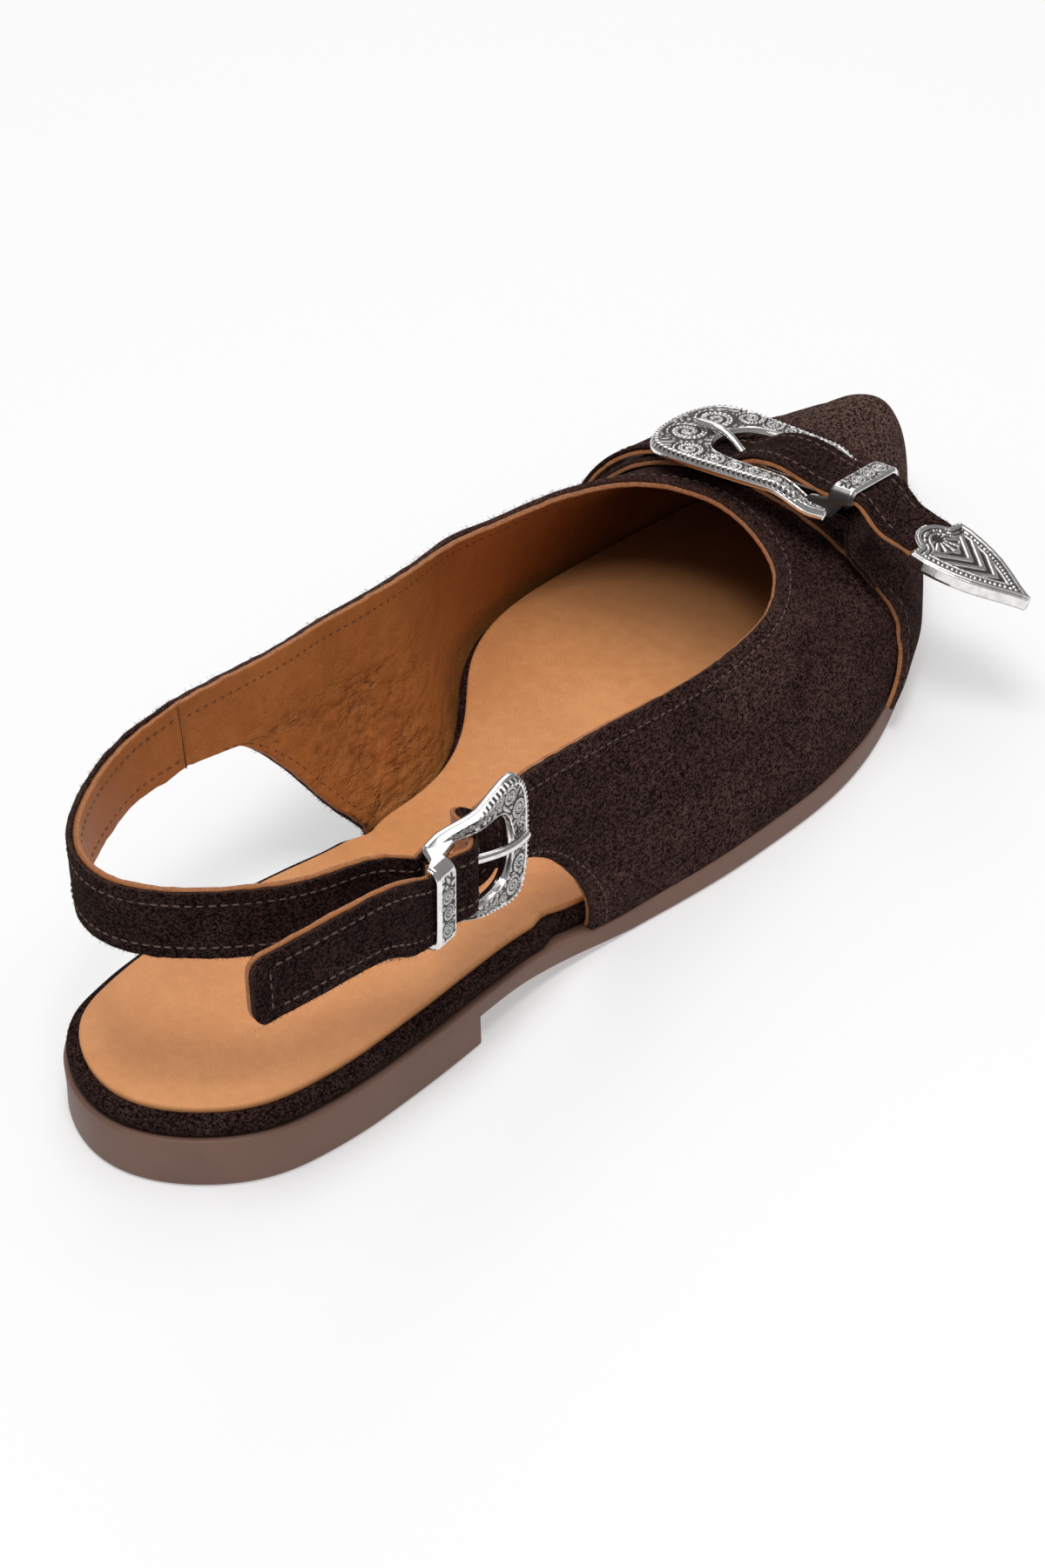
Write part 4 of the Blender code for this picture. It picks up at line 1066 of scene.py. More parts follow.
# %% Thread
def plain(name, colour, roughness, grain=0.3 * MM):
    """One colour, a little uneven, such as thread."""
    s = Shader(name)
    fibre = s.noise(grain, 2.0, 0.6)
    mixed = s.mix(s.between(fibre, 0.3, 0.7), [c * 0.65 for c in colour], colour)
    return s.done(Base_Color=mixed, Roughness=roughness, Normal=s.bump(fibre, 0.05 * MM, 0.6))


THREAD = plain("thread", (0.145, 0.085, 0.066), 0.8)
SEAM_THREAD = plain("seam_thread", (0.030, 0.012, 0.008), 0.9)
TAN_THREAD = plain("tan_thread", (0.13, 0.048, 0.020), 0.75)
FUZZ = plain("fuzz", (0.070, 0.040, 0.032), 0.9)
print("materials:", len(bpy.data.materials))

# %% [markdown]
# ## Layers of the bottom
# Rubber, board and sock are flat slabs with shaped edges. An extruded outline would have a hard rim, so
# rings of points go up the side of each layer at slightly different insets, and grids from the medial to
# the lateral side close its bottom and its top.

# %% Layers
def dense_stations(count, extra=()):
    """Shares of the length, close together at both round ends."""
    angle = (np.arange(count) + 0.5) * math.pi / count
    return np.sort(np.concatenate([(1 - np.cos(angle)) / 2, extra]))


def in_toe(at, start=0.60, end=0.76):
    """Ramp towards the toe: painted shade inside the closed toe, and a painted highlight on its suede."""
    return ease((at - start) / (end - start))


def layer(piece, stations, rings, lift=None, across=25):
    """Side wall through the rings, and crosswise grids that close its top and bottom.

    rings holds pairs of inset and height function, from the bottom to the top. lift moves the top
    by a function of share of length and place across.
    """
    walls = [loop(stations, inset, height) for inset, height in rings]
    piece.grid(np.array(walls), round_columns=True, flip=False, edge=0.0)
    for which, upwards in ((0, False), (-1, True)):
        ring = walls[which]
        half = len(ring) // 2
        left, right = ring[:half], ring[half:][::-1]
        place = np.linspace(-1, 1, across)
        share = (place + 1) / 2
        grid = left[:, None] * (1 - share)[None, :, None] + right[:, None] * share[None, :, None]
        if upwards and lift is not None:
            grid[..., 2] += lift(stations[:, None], place[None, :])
        if not upwards:
            grid[..., 2] += tread(stations[:, None], place[None, :], grid)
        # painted shade towards the closed toe; only the tan leather reads it
        dark = np.broadcast_to(in_toe(stations)[:, None], grid.shape[:2])
        piece.grid(grid, flip=upwards, worn=dark.ravel())
    return piece


def tread(at, place, grid):
    """Shallow wavy grooves cut in the bottom of the forepart and the heel."""
    wave = np.sin((grid[..., 1] + 1.5 * MM * np.sin(grid[..., 0] / (3.2 * MM))) * 2 * math.pi / (4.2 * MM))
    inside = ease((0.86 - np.abs(place)) / 0.05)
    fore = ease((at - 0.44) / 0.01) * ease((0.90 - at) / 0.01)
    heel = ease((at - 0.03) / 0.01) * ease((HEEL_LENGTH / SOLE_LENGTH - 0.02 - at) / 0.01)
    return 0.55 * MM * ease((wave - 0.1) / 0.5) * inside * (fore + heel)


breast = HEEL_LENGTH / SOLE_LENGTH
breast_end = breast + BREAST_DRAFT / SOLE_LENGTH
print("the heel's front lies at", round(breast, 3), "of the length")

# %% [markdown]
# ## Outsole
# The outsole is one rubber moulding: a low heel block, a step at its front, a thin waist and a flat
# forepart that curls up at the toe. Its wall bows in by a tenth of a millimetre, as rubber shrinks in
# the mould. Two stations close together keep the step at the heel's front sharp.

# %% Outsole
SHARP = 1e-4
stations = dense_stations(300, (breast - SHARP, breast, breast_end, breast_end + SHARP))
turn = SOLE_EDGE_ROUND
outsole = Piece("outsole_moulded")
layer(outsole, stations, [
    (turn, sole_bottom),
    (turn * 0.55, lambda at: sole_bottom(at) + turn * 0.12),
    (turn * 0.25, lambda at: sole_bottom(at) + turn * 0.35),
    (turn * 0.06, lambda at: sole_bottom(at) + turn * 0.65),
    (0.0, lambda at: sole_bottom(at) + turn),
    (0.12 * MM, lambda at: (sole_bottom(at) + sole_top(at)) / 2),
    (0.0, lambda at: sole_top(at) - 0.5 * MM),
    (0.12 * MM, lambda at: sole_top(at) - 0.2 * MM),
    (0.4 * MM, lambda at: sole_top(at) - 0.03 * MM),
    (0.9 * MM, sole_top),
], across=41)
outsole.build(RUBBER, "sole_rubber", "outsole")

# %% [markdown]
# ## Footbed and its rand
# The footbed is a stiff board wrapped in suede. Its edge shows as a dark band, the rand, all round the
# heel and waist. Wrapped suede bulges softly and is never quite even, so the rings swell in the middle
# and a slow wave runs along them.

# %% Footbed
def rand_wave(at):
    """The suede rand is a little uneven along its length."""
    return 0.12 * MM * np.sin(at * 61) + 0.08 * MM * np.sin(at * 143 + 1)


def rand(inset, below):
    """Ring of the rand at an inset from the board's edge and a depth below its top."""
    return (lambda at: board_inset(at, inset) + rand_wave(at) * 0.5, lambda at: board_top(at, below))


turn = BOARD_EDGE_ROUND
board = Piece("footbed_rand")
layer(board, dense_stations(300), [
    (lambda at: board_inset(at, 0.70 * MM), lambda at: sole_top(at) + 0.05 * MM),
    (lambda at: board_inset(at, 0.15 * MM), lambda at: sole_top(at) + GAP + 0.25 * MM),
    rand(-0.20 * MM, BOARD_THICKNESS * 0.70),
    rand(-0.32 * MM, BOARD_THICKNESS * 0.52),
    rand(-0.26 * MM, BOARD_THICKNESS * 0.36),
    rand(-0.05 * MM, BOARD_THICKNESS * 0.22),
    rand(turn * 0.25, BOARD_THICKNESS * 0.10),
    rand(turn * 0.70, BOARD_THICKNESS * 0.02),
    rand(turn * 1.3, 0.0),
], across=9)
board.build(DARK_SUEDE, "suede", "footbed_board")

# %% [markdown]
# ## Sock
# The sock is the tan leather that the foot stands on. It is thin and soft, so it dips where heel and
# ball have pressed it, rises at the arch, and keeps two faint creases. A sculpted surface could show the
# same, but a few bell curves added to the height say plainly what was pressed where.

# %% Sock
def sock_shape(at, place):
    """The sock dips under the heel and the ball, rises at the arch, and creases across the ball."""
    mid = 1 - place ** 2
    dip = -0.5 * np.exp(-((at - 0.10) / 0.07) ** 2) - 0.5 * np.exp(-((at - 0.66) / 0.09) ** 2)
    arch = 0.5 * np.exp(-((at - 0.36) / 0.08) ** 2)
    folds = -0.10 * np.exp(-((at - 0.235 - 0.012 * place) / 0.0035) ** 2) * ease(1.2 - np.abs(place))
    folds += -0.08 * np.exp(-((at - 0.262 + 0.01 * place) / 0.003) ** 2) * ease(1 - np.abs(place - 0.3))
    return MM * ((dip + arch) * mid * 0.7 + folds)


sock_top = -GAP - INSOLE_THICKNESS
soft = 0.45 * MM  # how far the sock's edge is rounded
sock = Piece("leather_sock")
layer(sock, dense_stations(230), [
    (insole_inset, lambda at: board_top(at, -0.02 * MM)),
    (lambda at: insole_inset(at, -0.08 * MM), lambda at: board_top(at, sock_top * 0.5)),
    (lambda at: insole_inset(at, 0.0), lambda at: board_top(at, sock_top + soft * 0.5)),
    (lambda at: insole_inset(at, soft * 0.4), lambda at: board_top(at, sock_top + soft * 0.15)),
    (lambda at: insole_inset(at, soft), lambda at: board_top(at, sock_top)),
], lift=sock_shape, across=41)
sock.build(SOCK, "tan_leather", "insole")

# %% [markdown]
# ## Suede of the upper
# The upper is two layers glued together, dark suede outside and tan lining inside. One solid shell with
# two materials would hide that, so each layer is a sheet of its own with a cut edge. Soft troughs stand
# for the creases where the vamp bends. They could be painted as bumps, but real ones change the outline.

# %% Upper's suede
def upper_grid(columns, rows):
    """Outer surface on an even grid, with the places of its points."""
    at, place = upper_pattern(columns, rows)
    at, place = at[:, ::-1], place[:, ::-1]
    return skin(at, place), at, place


VAMP_FOLDS = (
    (0.90, -0.35, 0.94, 0.35, 0.006, 0.30),
    (0.935, -0.45, 0.955, 0.10, 0.005, 0.22),
    (0.60, 0.62, 0.66, 0.95, 0.010, 0.25),
    (0.52, 0.60, 0.56, 0.90, 0.012, 0.20),
    (0.42, 0.62, 0.45, 0.92, 0.010, 0.18),
)
PLACE_SCALE = 0.22
LAYER = UPPER_WALL / 2 - 0.05 * MM


def folds(at, place, table):
    """Depth of the creases, with place scaled so that a crease has the same width both ways."""
    rows = [(a, b * PLACE_SCALE, c, d * PLACE_SCALE, width, depth)
            for a, b, c, d, width, depth in table]
    return strokes(at, place * PLACE_SCALE, rows) * MM


outer, at, place = upper_grid(480, 80)
normal = -surface_normals(outer)
lifted = skin(at, place, np.full(at.shape, 0.1 * MM))
normal *= np.sign(np.sum(normal * lifted - normal * outer, axis=-1, keepdims=True))
soft_wave = 0.16 * MM * waves(outer, 24 * MM, 3) + 0.05 * MM * waves(outer, 7 * MM, 4)
suede_face = outer + normal * (soft_wave - folds(at, place, VAMP_FOLDS))[..., None]
points, edge = sheet(suede_face, normal, LAYER, seed=11)
# painted highlight: the suede grows paler towards the toe's tip
pale = np.pad(0.75 * in_toe(at, 0.80, 0.97), len(ROLL), mode="edge")
Piece("upper_suede").grid(points, edge=edge.ravel(), pale=pale.ravel()).build(SUEDE, "suede", "upper")

# %% [markdown]
# ## Lining of the upper
# The lining is a little too large for the inside of the curve, so it bunches at the inner waist into
# short creases and a net of fine lines. Cloth simulation could find such a net, but it can't be placed.
# Here the creases are troughs in a table, and the net is where a warped wave crosses zero.

# %% Upper's lining
LINING_FOLDS = (
    (0.335, -0.60, 0.400, -0.80, 0.0045, 0.30),
    (0.350, -0.66, 0.420, -0.88, 0.0040, 0.35),
    (0.375, -0.58, 0.445, -0.78, 0.0045, 0.30),
    (0.410, -0.62, 0.480, -0.76, 0.0050, 0.25),
    (0.430, -0.74, 0.500, -0.90, 0.0050, 0.25),
)
crease = folds(at, place, LINING_FOLDS)
warped = outer + 1.6 * MM * np.stack([waves(outer, 9 * MM, seed) for seed in (61, 62, 63)], axis=-1)
lines = np.clip(1 - np.abs(waves(warped, 6.5 * MM, 8)) * 3.4, 0, 1) ** 2
lines += 0.8 * np.clip(1 - np.abs(waves(warped, 3.6 * MM, 9)) * 3.4, 0, 1) ** 2
waist = ease((at - 0.24) / 0.08) * ease((0.56 - at) / 0.14) * ease((-place - 0.52) / 0.14)
lines *= 0.12 + 0.88 * waist
bulge = 0.22 * MM * waves(warped, 8 * MM, 10) * (0.15 + waist)
inner = outer - normal * (UPPER_WALL - soft_wave * 0.4)[..., None]
inner -= normal * (bulge - crease - 0.42 * MM * lines)[..., None]
points, edge = sheet(inner, -normal, LAYER, seed=13)
# painted shade in the lining's creases and along its net of fine lines
deep = np.pad(np.clip(0.35 * crease / (0.5 * MM) + 0.55 * lines, 0, 1), len(ROLL), mode="edge")
# painted shade inside the closed toe, strongest along the middle
worn = np.pad(in_toe(at, 0.56, 0.78) * ease((1 - np.abs(place)) / 0.9 + 0.4), len(ROLL), mode="edge")
# where the thin lines of painted shade show, mostly at the inner waist
wrinkle = np.pad(waist * (0.55 + 0.45 * waves(outer, 11 * MM, 14)), len(ROLL), mode="edge")
lining = Piece("upper_lining")
lining.grid(points, flip=True, edge=edge.ravel(), crease=deep.ravel(),
            worn=worn.ravel(), wrinkle=wrinkle.ravel())
lining.build(LINING, "tan_leather")

# %% [markdown]
# ## Band across the vamp
# The band is a second layer of suede over the vamp, with a raw tan edge at the back. It follows the
# upper's own surface, so it is the same function lifted by its thickness. A shrinkwrapped strip would do
# the same less exactly. It lies in soft folds where the straps pull on it.

# %% Band
BAND_FOLDS = (
    (0.768, 0.42, 0.812, 0.70, 0.0045, 0.55),
    (0.775, 0.55, 0.800, 0.86, 0.0040, 0.50),
    (0.760, 0.62, 0.772, 0.95, 0.0040, 0.45),
    (0.800, 0.30, 0.845, 0.52, 0.0050, 0.35),
    (0.765, -0.45, 0.820, -0.62, 0.0050, 0.35),
    (0.790, -0.60, 0.830, -0.85, 0.0045, 0.35),
)


def band_surface(lift, columns=300, rows=60):
    """Points of the band a distance outside the upper's own surface."""
    across = np.linspace(BAND_END, -BAND_END, columns)[None, :]
    step = np.linspace(0, BAND_WIDTH / SOLE_LENGTH, rows)[:, None]
    along_it = spline(BAND, BAND_REAR, across) + step
    flat = np.broadcast_to(across, along_it.shape)
    return skin(along_it, flat, np.full(along_it.shape, lift)), along_it, flat


low, at, place = band_surface(GAP)
high = band_surface(GAP + BAND_THICKNESS)[0]
way = unit(high - low)
shape = 0.18 * MM * waves(high, 14 * MM, 21) - folds(at, place, BAND_FOLDS) + 0.1 * MM
band_face = high + way * shape[..., None]
points, edge = sheet(band_face, way, BAND_THICKNESS * 0.5, seed=22)
Piece("band_suede").grid(points, edge=edge.ravel()).build(SUEDE, "suede", "vamp_band")
under = low + way * (BAND_THICKNESS * 0.52 + shape)[..., None]
points, edge = sheet(under, way, BAND_THICKNESS * 0.55, seed=23)
all_edge = edge.ravel() + 0.999
Piece("band_backing").grid(points, edge=all_edge).build(LINING, "tan_leather")

# %% [markdown]
# ## Straps
# A strap is two glued layers with a rounded cross-section, suede on one face and tan leather on the
# other. A curve with a bevel object could sweep it, but its thickness changes on the way and its loose
# end is rounded. So a section of points is carried along the path, wider or thinner at each station.

# %% Layers of a strap
def half_section(width, low, high, corner, count=14):
    """Closed loop round one layer: places across, and shares of its height, with rounded corners."""
    across = np.linspace(-1, 1, count) * (width / 2 - corner)
    arc = np.radians(np.linspace(0, 90, 5))
    right = np.column_stack([width / 2 - corner + corner * np.cos(arc),
                             high - 0.35 + 0.35 * np.sin(arc)])
    left = right[::-1] * (-1, 1)
    top = np.column_stack([across[::-1][1:-1], np.full(count - 2, high)])
    bottom = np.column_stack([across, np.full(count, low)])
    return np.vstack([right, top, left, bottom])


def strap_layers(name, path, ups, count, thick, node, chamfer=0.0, flip=1, seed=1, backing=None,
                 wide=STRAP_WIDTH):
    """Suede layer and leather layer of a strap.

    thick holds thicknesses, spread evenly from start to end. flip is 1 when the suede is on the
    face side. The return value has the middle line, the way across, the way out and the height of
    each layer, which the stitches follow.
    """
    dense, across, face, length = strap_path(path, ups, count)
    half = np.interp(length / length[-1], np.linspace(0, 1, len(thick)), thick) / 2
    into_end = np.clip((chamfer - length[-1] + length) / max(chamfer, 0.1 * MM), 0, 1)
    trim = 2 * chamfer * (1 - np.sqrt(1 - into_end ** 2))
    width = 1 - trim / wide
    made = []
    for part, (sign, material) in enumerate(((flip, DARK_SUEDE), (-flip, backing or LINING))):
        section = half_section(wide, 0.02, 1.0, 0.30 * MM)
        place, share = section[:, 0], section[:, 1]
        on_side = (np.abs(place) > wide / 2 - 0.35 * MM) * np.sign(place)
        even = dense[:, None] + across[:, None] * place[None, :, None]
        rough = 0.12 * MM * waves(even, 3.5 * MM, seed + part)
        y = place[None] * width[:, None] + rough * on_side[None]
        height = share[None] * half[:, None]
        points = dense[:, None] + across[:, None] * y[..., None]
        points = points + face[:, None] * (height * sign)[..., None]
        puff = 0.08 * MM * waves(points, 9 * MM, seed + 5) * (share > 0.6)[None]
        points = points + face[:, None] * (puff * sign)[..., None]
        centre = dense[:, None] + across[:, None] * y[..., None] * 0.97
        centre = centre + (face * half[:, None] * sign / 2)[:, None]
        points = np.concatenate([centre[:1], points, centre[-1:]])
        cut = ((np.abs(place) > wide / 2 - 0.2 * MM) & (share < 0.8)).astype(float)
        cut = np.broadcast_to(cut, points.shape[:2]).copy()
        cut[:2] = cut[-2:] = 1
        piece = Piece(f"{name}_{'suede' if part == 0 else 'lining'}")
        piece.grid(points, round_columns=True, flip=(sign > 0), edge=cut.ravel())
        slot = "suede" if material is DARK_SUEDE else "tan_leather"
        piece.build(material, slot, node if part == 0 else None)
        made.append((dense, across, face * sign, half))
    return made


print("points round one layer:", len(half_section(STRAP_WIDTH, 0.02, 1.0, 0.30 * MM)))

# %% [markdown]
# ## Sling
# The sling carries the medial quarter on round the back of the heel and folds round the side buckle's
# bar. It is sewn together at the seam, so it starts in the middle of the quarter's wall, and it thins
# towards the fold, where leather is pared down so that it can turn round a thin rod.

# %% Sling
to_seam = np.array([0, SEAM_GAP - 0.1 * MM, 0])

seam, upright = wing_seam(1)
tail = loop_round_bar(side_seat, -1)
path = np.vstack([seam[0] + to_seam, seam[1], from_shares(SLING), tail])
ups = np.vstack([np.tile(upright, (2, 1)), np.tile([0.0, 0.0, 1.0], (len(SLING), 1)),
                 np.tile(side_seat.y, (len(tail), 1))])
sling_thick = (2.3 * MM, 2.5 * MM, 2.5 * MM, 2.5 * MM, 2.4 * MM, 2.2 * MM, 1.6 * MM, 1.3 * MM)
sling = strap_layers("sling", path, ups, 420, sling_thick, "sling_strap", seed=31)

# %% [markdown]
# ## Side strap
# The loose strap starts at the lateral quarter, comes up through the side buckle and lies over the bar
# and under the keeper. It is stiff, so it stands up in a hump between the frame's front and the bar.
# A straight path would cut through the frame, so four points in the buckle's plane lift it over.

# %% Side strap
seam, upright = wing_seam(3)
inside = np.vstack([side_seat.middle(SIDE_HUMP), under_keeper(side_seat)])
path = np.vstack([seam[0] + to_seam, seam[1], inside, from_shares(SIDE_TAIL)])
ups = np.vstack([np.tile(upright, (2, 1)), np.tile(side_seat.y, (len(inside), 1)),
                 np.tile([0.0, 0.0, 1.0], (len(SIDE_TAIL), 1))])
side_thick = (1.8 * MM, 1.8 * MM, 1.8 * MM, 1.9 * MM, 2.1 * MM, 2.4 * MM, 2.4 * MM, 2.3 * MM)
side = strap_layers("side", path, ups, 260, side_thick, "side_strap", STRAP_END_CUT, flip=-1, seed=41)

# %% [markdown]
# ## Straps of the vamp
# The long strap lies on the band from the medial side, rises through the vamp buckle, goes over its bar
# and under its keeper, and ends in the metal tip. The chape is the short strap that is folded round the
# bar and holds the buckle on the band. Both are made like the others, from points on the band.

# %% Vamp strap and chape
lying, across = on_band(VAMP_STRAP_ROOT, STRAP_THICKNESS)
inside = np.vstack([vamp_seat.middle(VAMP_STRAP_RISE), under_keeper(vamp_seat)])
tail_end = from_shares(VAMP_TAIL)
into_tip = tail_end[-1] + 3.6 * MM * unit(from_shares([TIP_END])[0] - tail_end[-1])
path = np.vstack([lying, inside, tail_end, into_tip])
ups = np.vstack([across, np.tile(vamp_seat.y, (len(path) - len(lying), 1))])
vamp_thick = (1.8 * MM, 1.8 * MM, 1.9 * MM, 2.0 * MM, 2.0 * MM, 1.9 * MM, 1.9 * MM, 2.0 * MM)
over = strap_layers("vamp", path, ups, 320, vamp_thick, "vamp_strap", flip=-1, seed=51)

lying, across = on_band(CHAPE_ROOT, LOOP_THICKNESS)
path = np.vstack([lying, loop_round_bar(vamp_seat, -1)])
ups = np.vstack([across, np.tile(vamp_seat.y, (len(path) - len(lying), 1))])
strap_layers("chape", path, ups, 160, (1.6 * MM, 1.3 * MM), "vamp_chape", seed=61,
             backing=DARK_SUEDE, wide=CHAPE_WIDTH)

# %% [markdown]
# ## Stitches
# Lockstitches show as a row of short beads with their ends pulled into the leather. A dashed texture
# would look flat from the side, so every stitch is a small closed bead of only 36 faces. Its place and
# lean vary a little, as a hand guides the machine.

# %% Beads of thread
def beads(piece, centre, ahead, out, length, width, rows=7, columns=6):
    """Elongated beads: centre, direction and outward normal of each, with half round caps."""
    turn = np.linspace(0, math.pi, rows)
    ring = np.linspace(0, 2 * math.pi, columns, endpoint=False)
    ahead, out = unit(ahead), unit(out)
    side = np.cross(ahead, out)
    shape = np.sin(turn) ** 0.5
    x = -np.cos(turn) * length / 2
    y = (shape[:, None] * np.cos(ring)[None]) * width / 2
    z = (shape[:, None] * np.sin(ring)[None]) * width / 2
    points = (centre[:, None, None] + ahead[:, None, None] * x[None, :, None, None]
              + side[:, None, None] * y[None, :, :, None] + out[:, None, None] * z[None, :, :, None])
    one = quads(rows, columns, True)
    faces = (one[None] + (np.arange(len(centre)) * rows * columns)[:, None, None]).reshape(-1, 4)
    return piece.raw(points, faces)


def stitch_line(piece, line, out, pitch=2.9 * MM, length=2.0 * MM, width=0.52 * MM, skip=1.5 * MM):
    """Stitches at an even pitch along a line of points with outward normals."""
    sink = 0.06 * MM
    steps = np.linalg.norm(np.diff(line, axis=0), axis=1)
    run = np.concatenate([[0], np.cumsum(steps)])
    places = np.arange(skip, run[-1] - skip, pitch)
    rng = np.random.default_rng(len(places))
    places = places + rng.normal(0, 0.06 * MM, len(places))
    take = [np.column_stack([np.interp(p, run, values[:, k]) for k in range(3)])
            for p, values in ((places, line), (places + 0.1 * MM, line), (places, out))]
    lean = rng.normal(0, 0.06, (len(places), 3)) * unit(take[1] - take[0])
    ahead = take[1] - take[0] + lean * 0.1 * MM
    return beads(piece, take[0] - unit(take[2]) * sink, ahead, take[2], length, width)


ROW_START, ROW_END = 4, -14  # stations of a strap's path between which it is stitched


def strap_stitches(piece, layer_made, offset, **sizes):
    """Two rows of stitches along a layer of a strap."""
    dense, across, face, half = layer_made
    for sign in (-1, 1):
        line = dense + across * sign * (STRAP_WIDTH / 2 - offset) + face * (half + 0.05 * MM)[:, None]
        stitch_line(piece, line[ROW_START:ROW_END], face[ROW_START:ROW_END], **sizes)


def inward_line(points, distance, from_top=True):
    """Line that runs a distance inside the top edge of a grid."""
    rows = points[::-1] if from_top else points
    steps = np.linalg.norm(np.diff(rows, axis=0), axis=2)
    run = np.vstack([np.zeros(rows.shape[1]), np.cumsum(steps, axis=0)])
    return np.array([[np.interp(distance, run[:, j], rows[:, j, k]) for k in range(3)]
                     for j in range(rows.shape[1])])


EDGE_MARGIN = 3.4 * MM
print("a seam runs", EDGE_MARGIN, "m inside a cut edge")

# %% [markdown]
# ## Dark seams
# Two rows of dark thread run along the sling, the side strap and the vamp strap, one row closes the
# side strap's rounded end, and one row follows each cut edge of the upper and the band's rear edge. The
# rows are taken from the layers' own grids, so they stay at an even distance from the edge wherever it
# curves.

# %% Dark seams
threads = Piece("stitches_dark")
strap_row = {"pitch": 2.1 * MM, "length": 1.4 * MM}
strap_stitches(threads, sling[0], 2.6 * MM, width=0.42 * MM, **strap_row)
strap_stitches(threads, side[0], 2.6 * MM, width=0.42 * MM, **strap_row)
dense, across, face, half = side[0]
end_row = np.linspace(-1, 1, 20)[:, None] * (STRAP_WIDTH / 2 - 3.2 * MM)
line = dense[ROW_END] + across[ROW_END] * end_row + face[ROW_END] * (half[ROW_END] + 0.05 * MM)
outwards = np.broadcast_to(face[ROW_END], line.shape)
stitch_line(threads, line, outwards, width=0.42 * MM, skip=0.4 * MM, **strap_row)
strap_stitches(threads, over[0], 2.4 * MM, width=0.38 * MM, **strap_row)

edge_row = {"pitch": 2.3 * MM, "length": 1.3 * MM}
throat = inward_line(suede_face, EDGE_MARGIN)
stitch_line(threads, throat + 0.04 * MM * normal[-3], normal[-3], width=0.36 * MM, **edge_row)
for pick in (slice(None, None, 1), slice(None, None, -1)):
    turned = np.swapaxes(suede_face[:, pick], 0, 1)[:60]
    facing = np.swapaxes(normal[:, pick], 0, 1)[3]
    line = inward_line(turned, EDGE_MARGIN, from_top=False)
    stitch_line(threads, line + 0.04 * MM * facing, facing, width=0.36 * MM, **edge_row)
line = inward_line(band_face, 2.6 * MM, from_top=False)
stitch_line(threads, line, way[2], width=0.40 * MM)
threads.build(THREAD, "suede")

# %% [markdown]
# ## Tan seams
# The seams of the sling, the side strap and the upper come through on the lining's side in a tan thread,
# a little shorter and deeper in the soft leather. Where sling and side strap meet the quarters, two
# linings butt together, and a row of nearly touching dark stitches draws that joint as a thin line.

# %% Tan seams
tan_threads = Piece("stitches_tan")
for layer_made in (sling[1], side[1]):
    strap_stitches(tan_threads, layer_made, 2.7 * MM, width=0.34 * MM, **edge_row)
lining_row = {"pitch": 2.3 * MM, "length": 1.1 * MM, "width": 0.34 * MM}
line = inward_line(inner, EDGE_MARGIN)
stitch_line(tan_threads, line - 0.02 * MM * normal[-3], -normal[-3], **lining_row)
for pick in (slice(None, None, 1), slice(None, None, -1)):
    turned = np.swapaxes(inner[:, pick], 0, 1)[:60]
    facing = -np.swapaxes(normal[:, pick], 0, 1)[3]
    line = inward_line(turned, EDGE_MARGIN, from_top=False)[:59]
    facing = facing[:59]
    stitch_line(tan_threads, line, facing, **lining_row)
tan_threads.build(TAN_THREAD, "tan_leather")

seams = Piece("lining_seams")
for dense, across, face, half in (sling[1], side[1]):
    line = dense[2] + across[2] * np.linspace(-0.98, 0.98, 40)[:, None] * STRAP_WIDTH / 2
    line = line + face[2] * half[2]
    stitch_line(seams, line, np.broadcast_to(face[2], line.shape), pitch=1.0 * MM, length=1.3 * MM,
                width=0.32 * MM, skip=0.2 * MM)
seams.build(SEAM_THREAD, "tan_leather")

# %% [markdown]
# ## Ornament of the castings
# Western buckles are engraved with curled leaves on a sunk ground. A normal map would fake them, but the
# camera is close and the recesses have to be known for the dark finish, so they are cut into the mesh. A
# curl is a height field: the distance to the centre and the angle round it together give the windings.

# %% Ornament
def ring_edges(length, front, arms):
    """Outer and inner edge of a buckle frame in its own plane, from one arm to the other.

    arms is the column of the ring's table with the outer edge's half width.
    """
    turn = np.linspace(-1, 1, 37)
    half = np.array(RING)[::-1]
    half[:, 0] = 1 - half[:, 0]
    table = np.vstack([half[:0:-1] * (-1, 1, 1, -1, -1, -1), half])
    outer = np.column_stack([spline(table, OUTER_ALONG, turn) * (length + ARM_TAIL) - ARM_TAIL,
                             spline(table, arms, turn) * FRAME_WIDTH / 2])
    inner = np.column_stack([spline(table, INNER_ALONG, turn) * (length - front + ARM_TAIL) - ARM_TAIL,
                             spline(table, INNER_HALF, turn) * OPENING_HALF])
    return outer, inner


def spiral(x, y, radius, hand, turns=2.6):
    """Height of a curled leaf: a doubled line that winds to the middle, with fine veins across it."""
    r = np.hypot(x, y)
    angle = np.arctan2(y, x)
    wind = (r / radius) ** 0.8 * turns - hand * angle / (2 * math.pi)
    part = np.abs(wind - np.floor(wind) - 0.5) * 2
    ridge = ease((0.80 - part) / 0.30) * (1 - 0.55 * ease((0.22 - part) / 0.14))
    veins = 0.72 + 0.28 * np.cos(angle * 18 * hand + r / radius * 11)
    return ridge * veins * ease((radius - r) / (0.10 * radius))


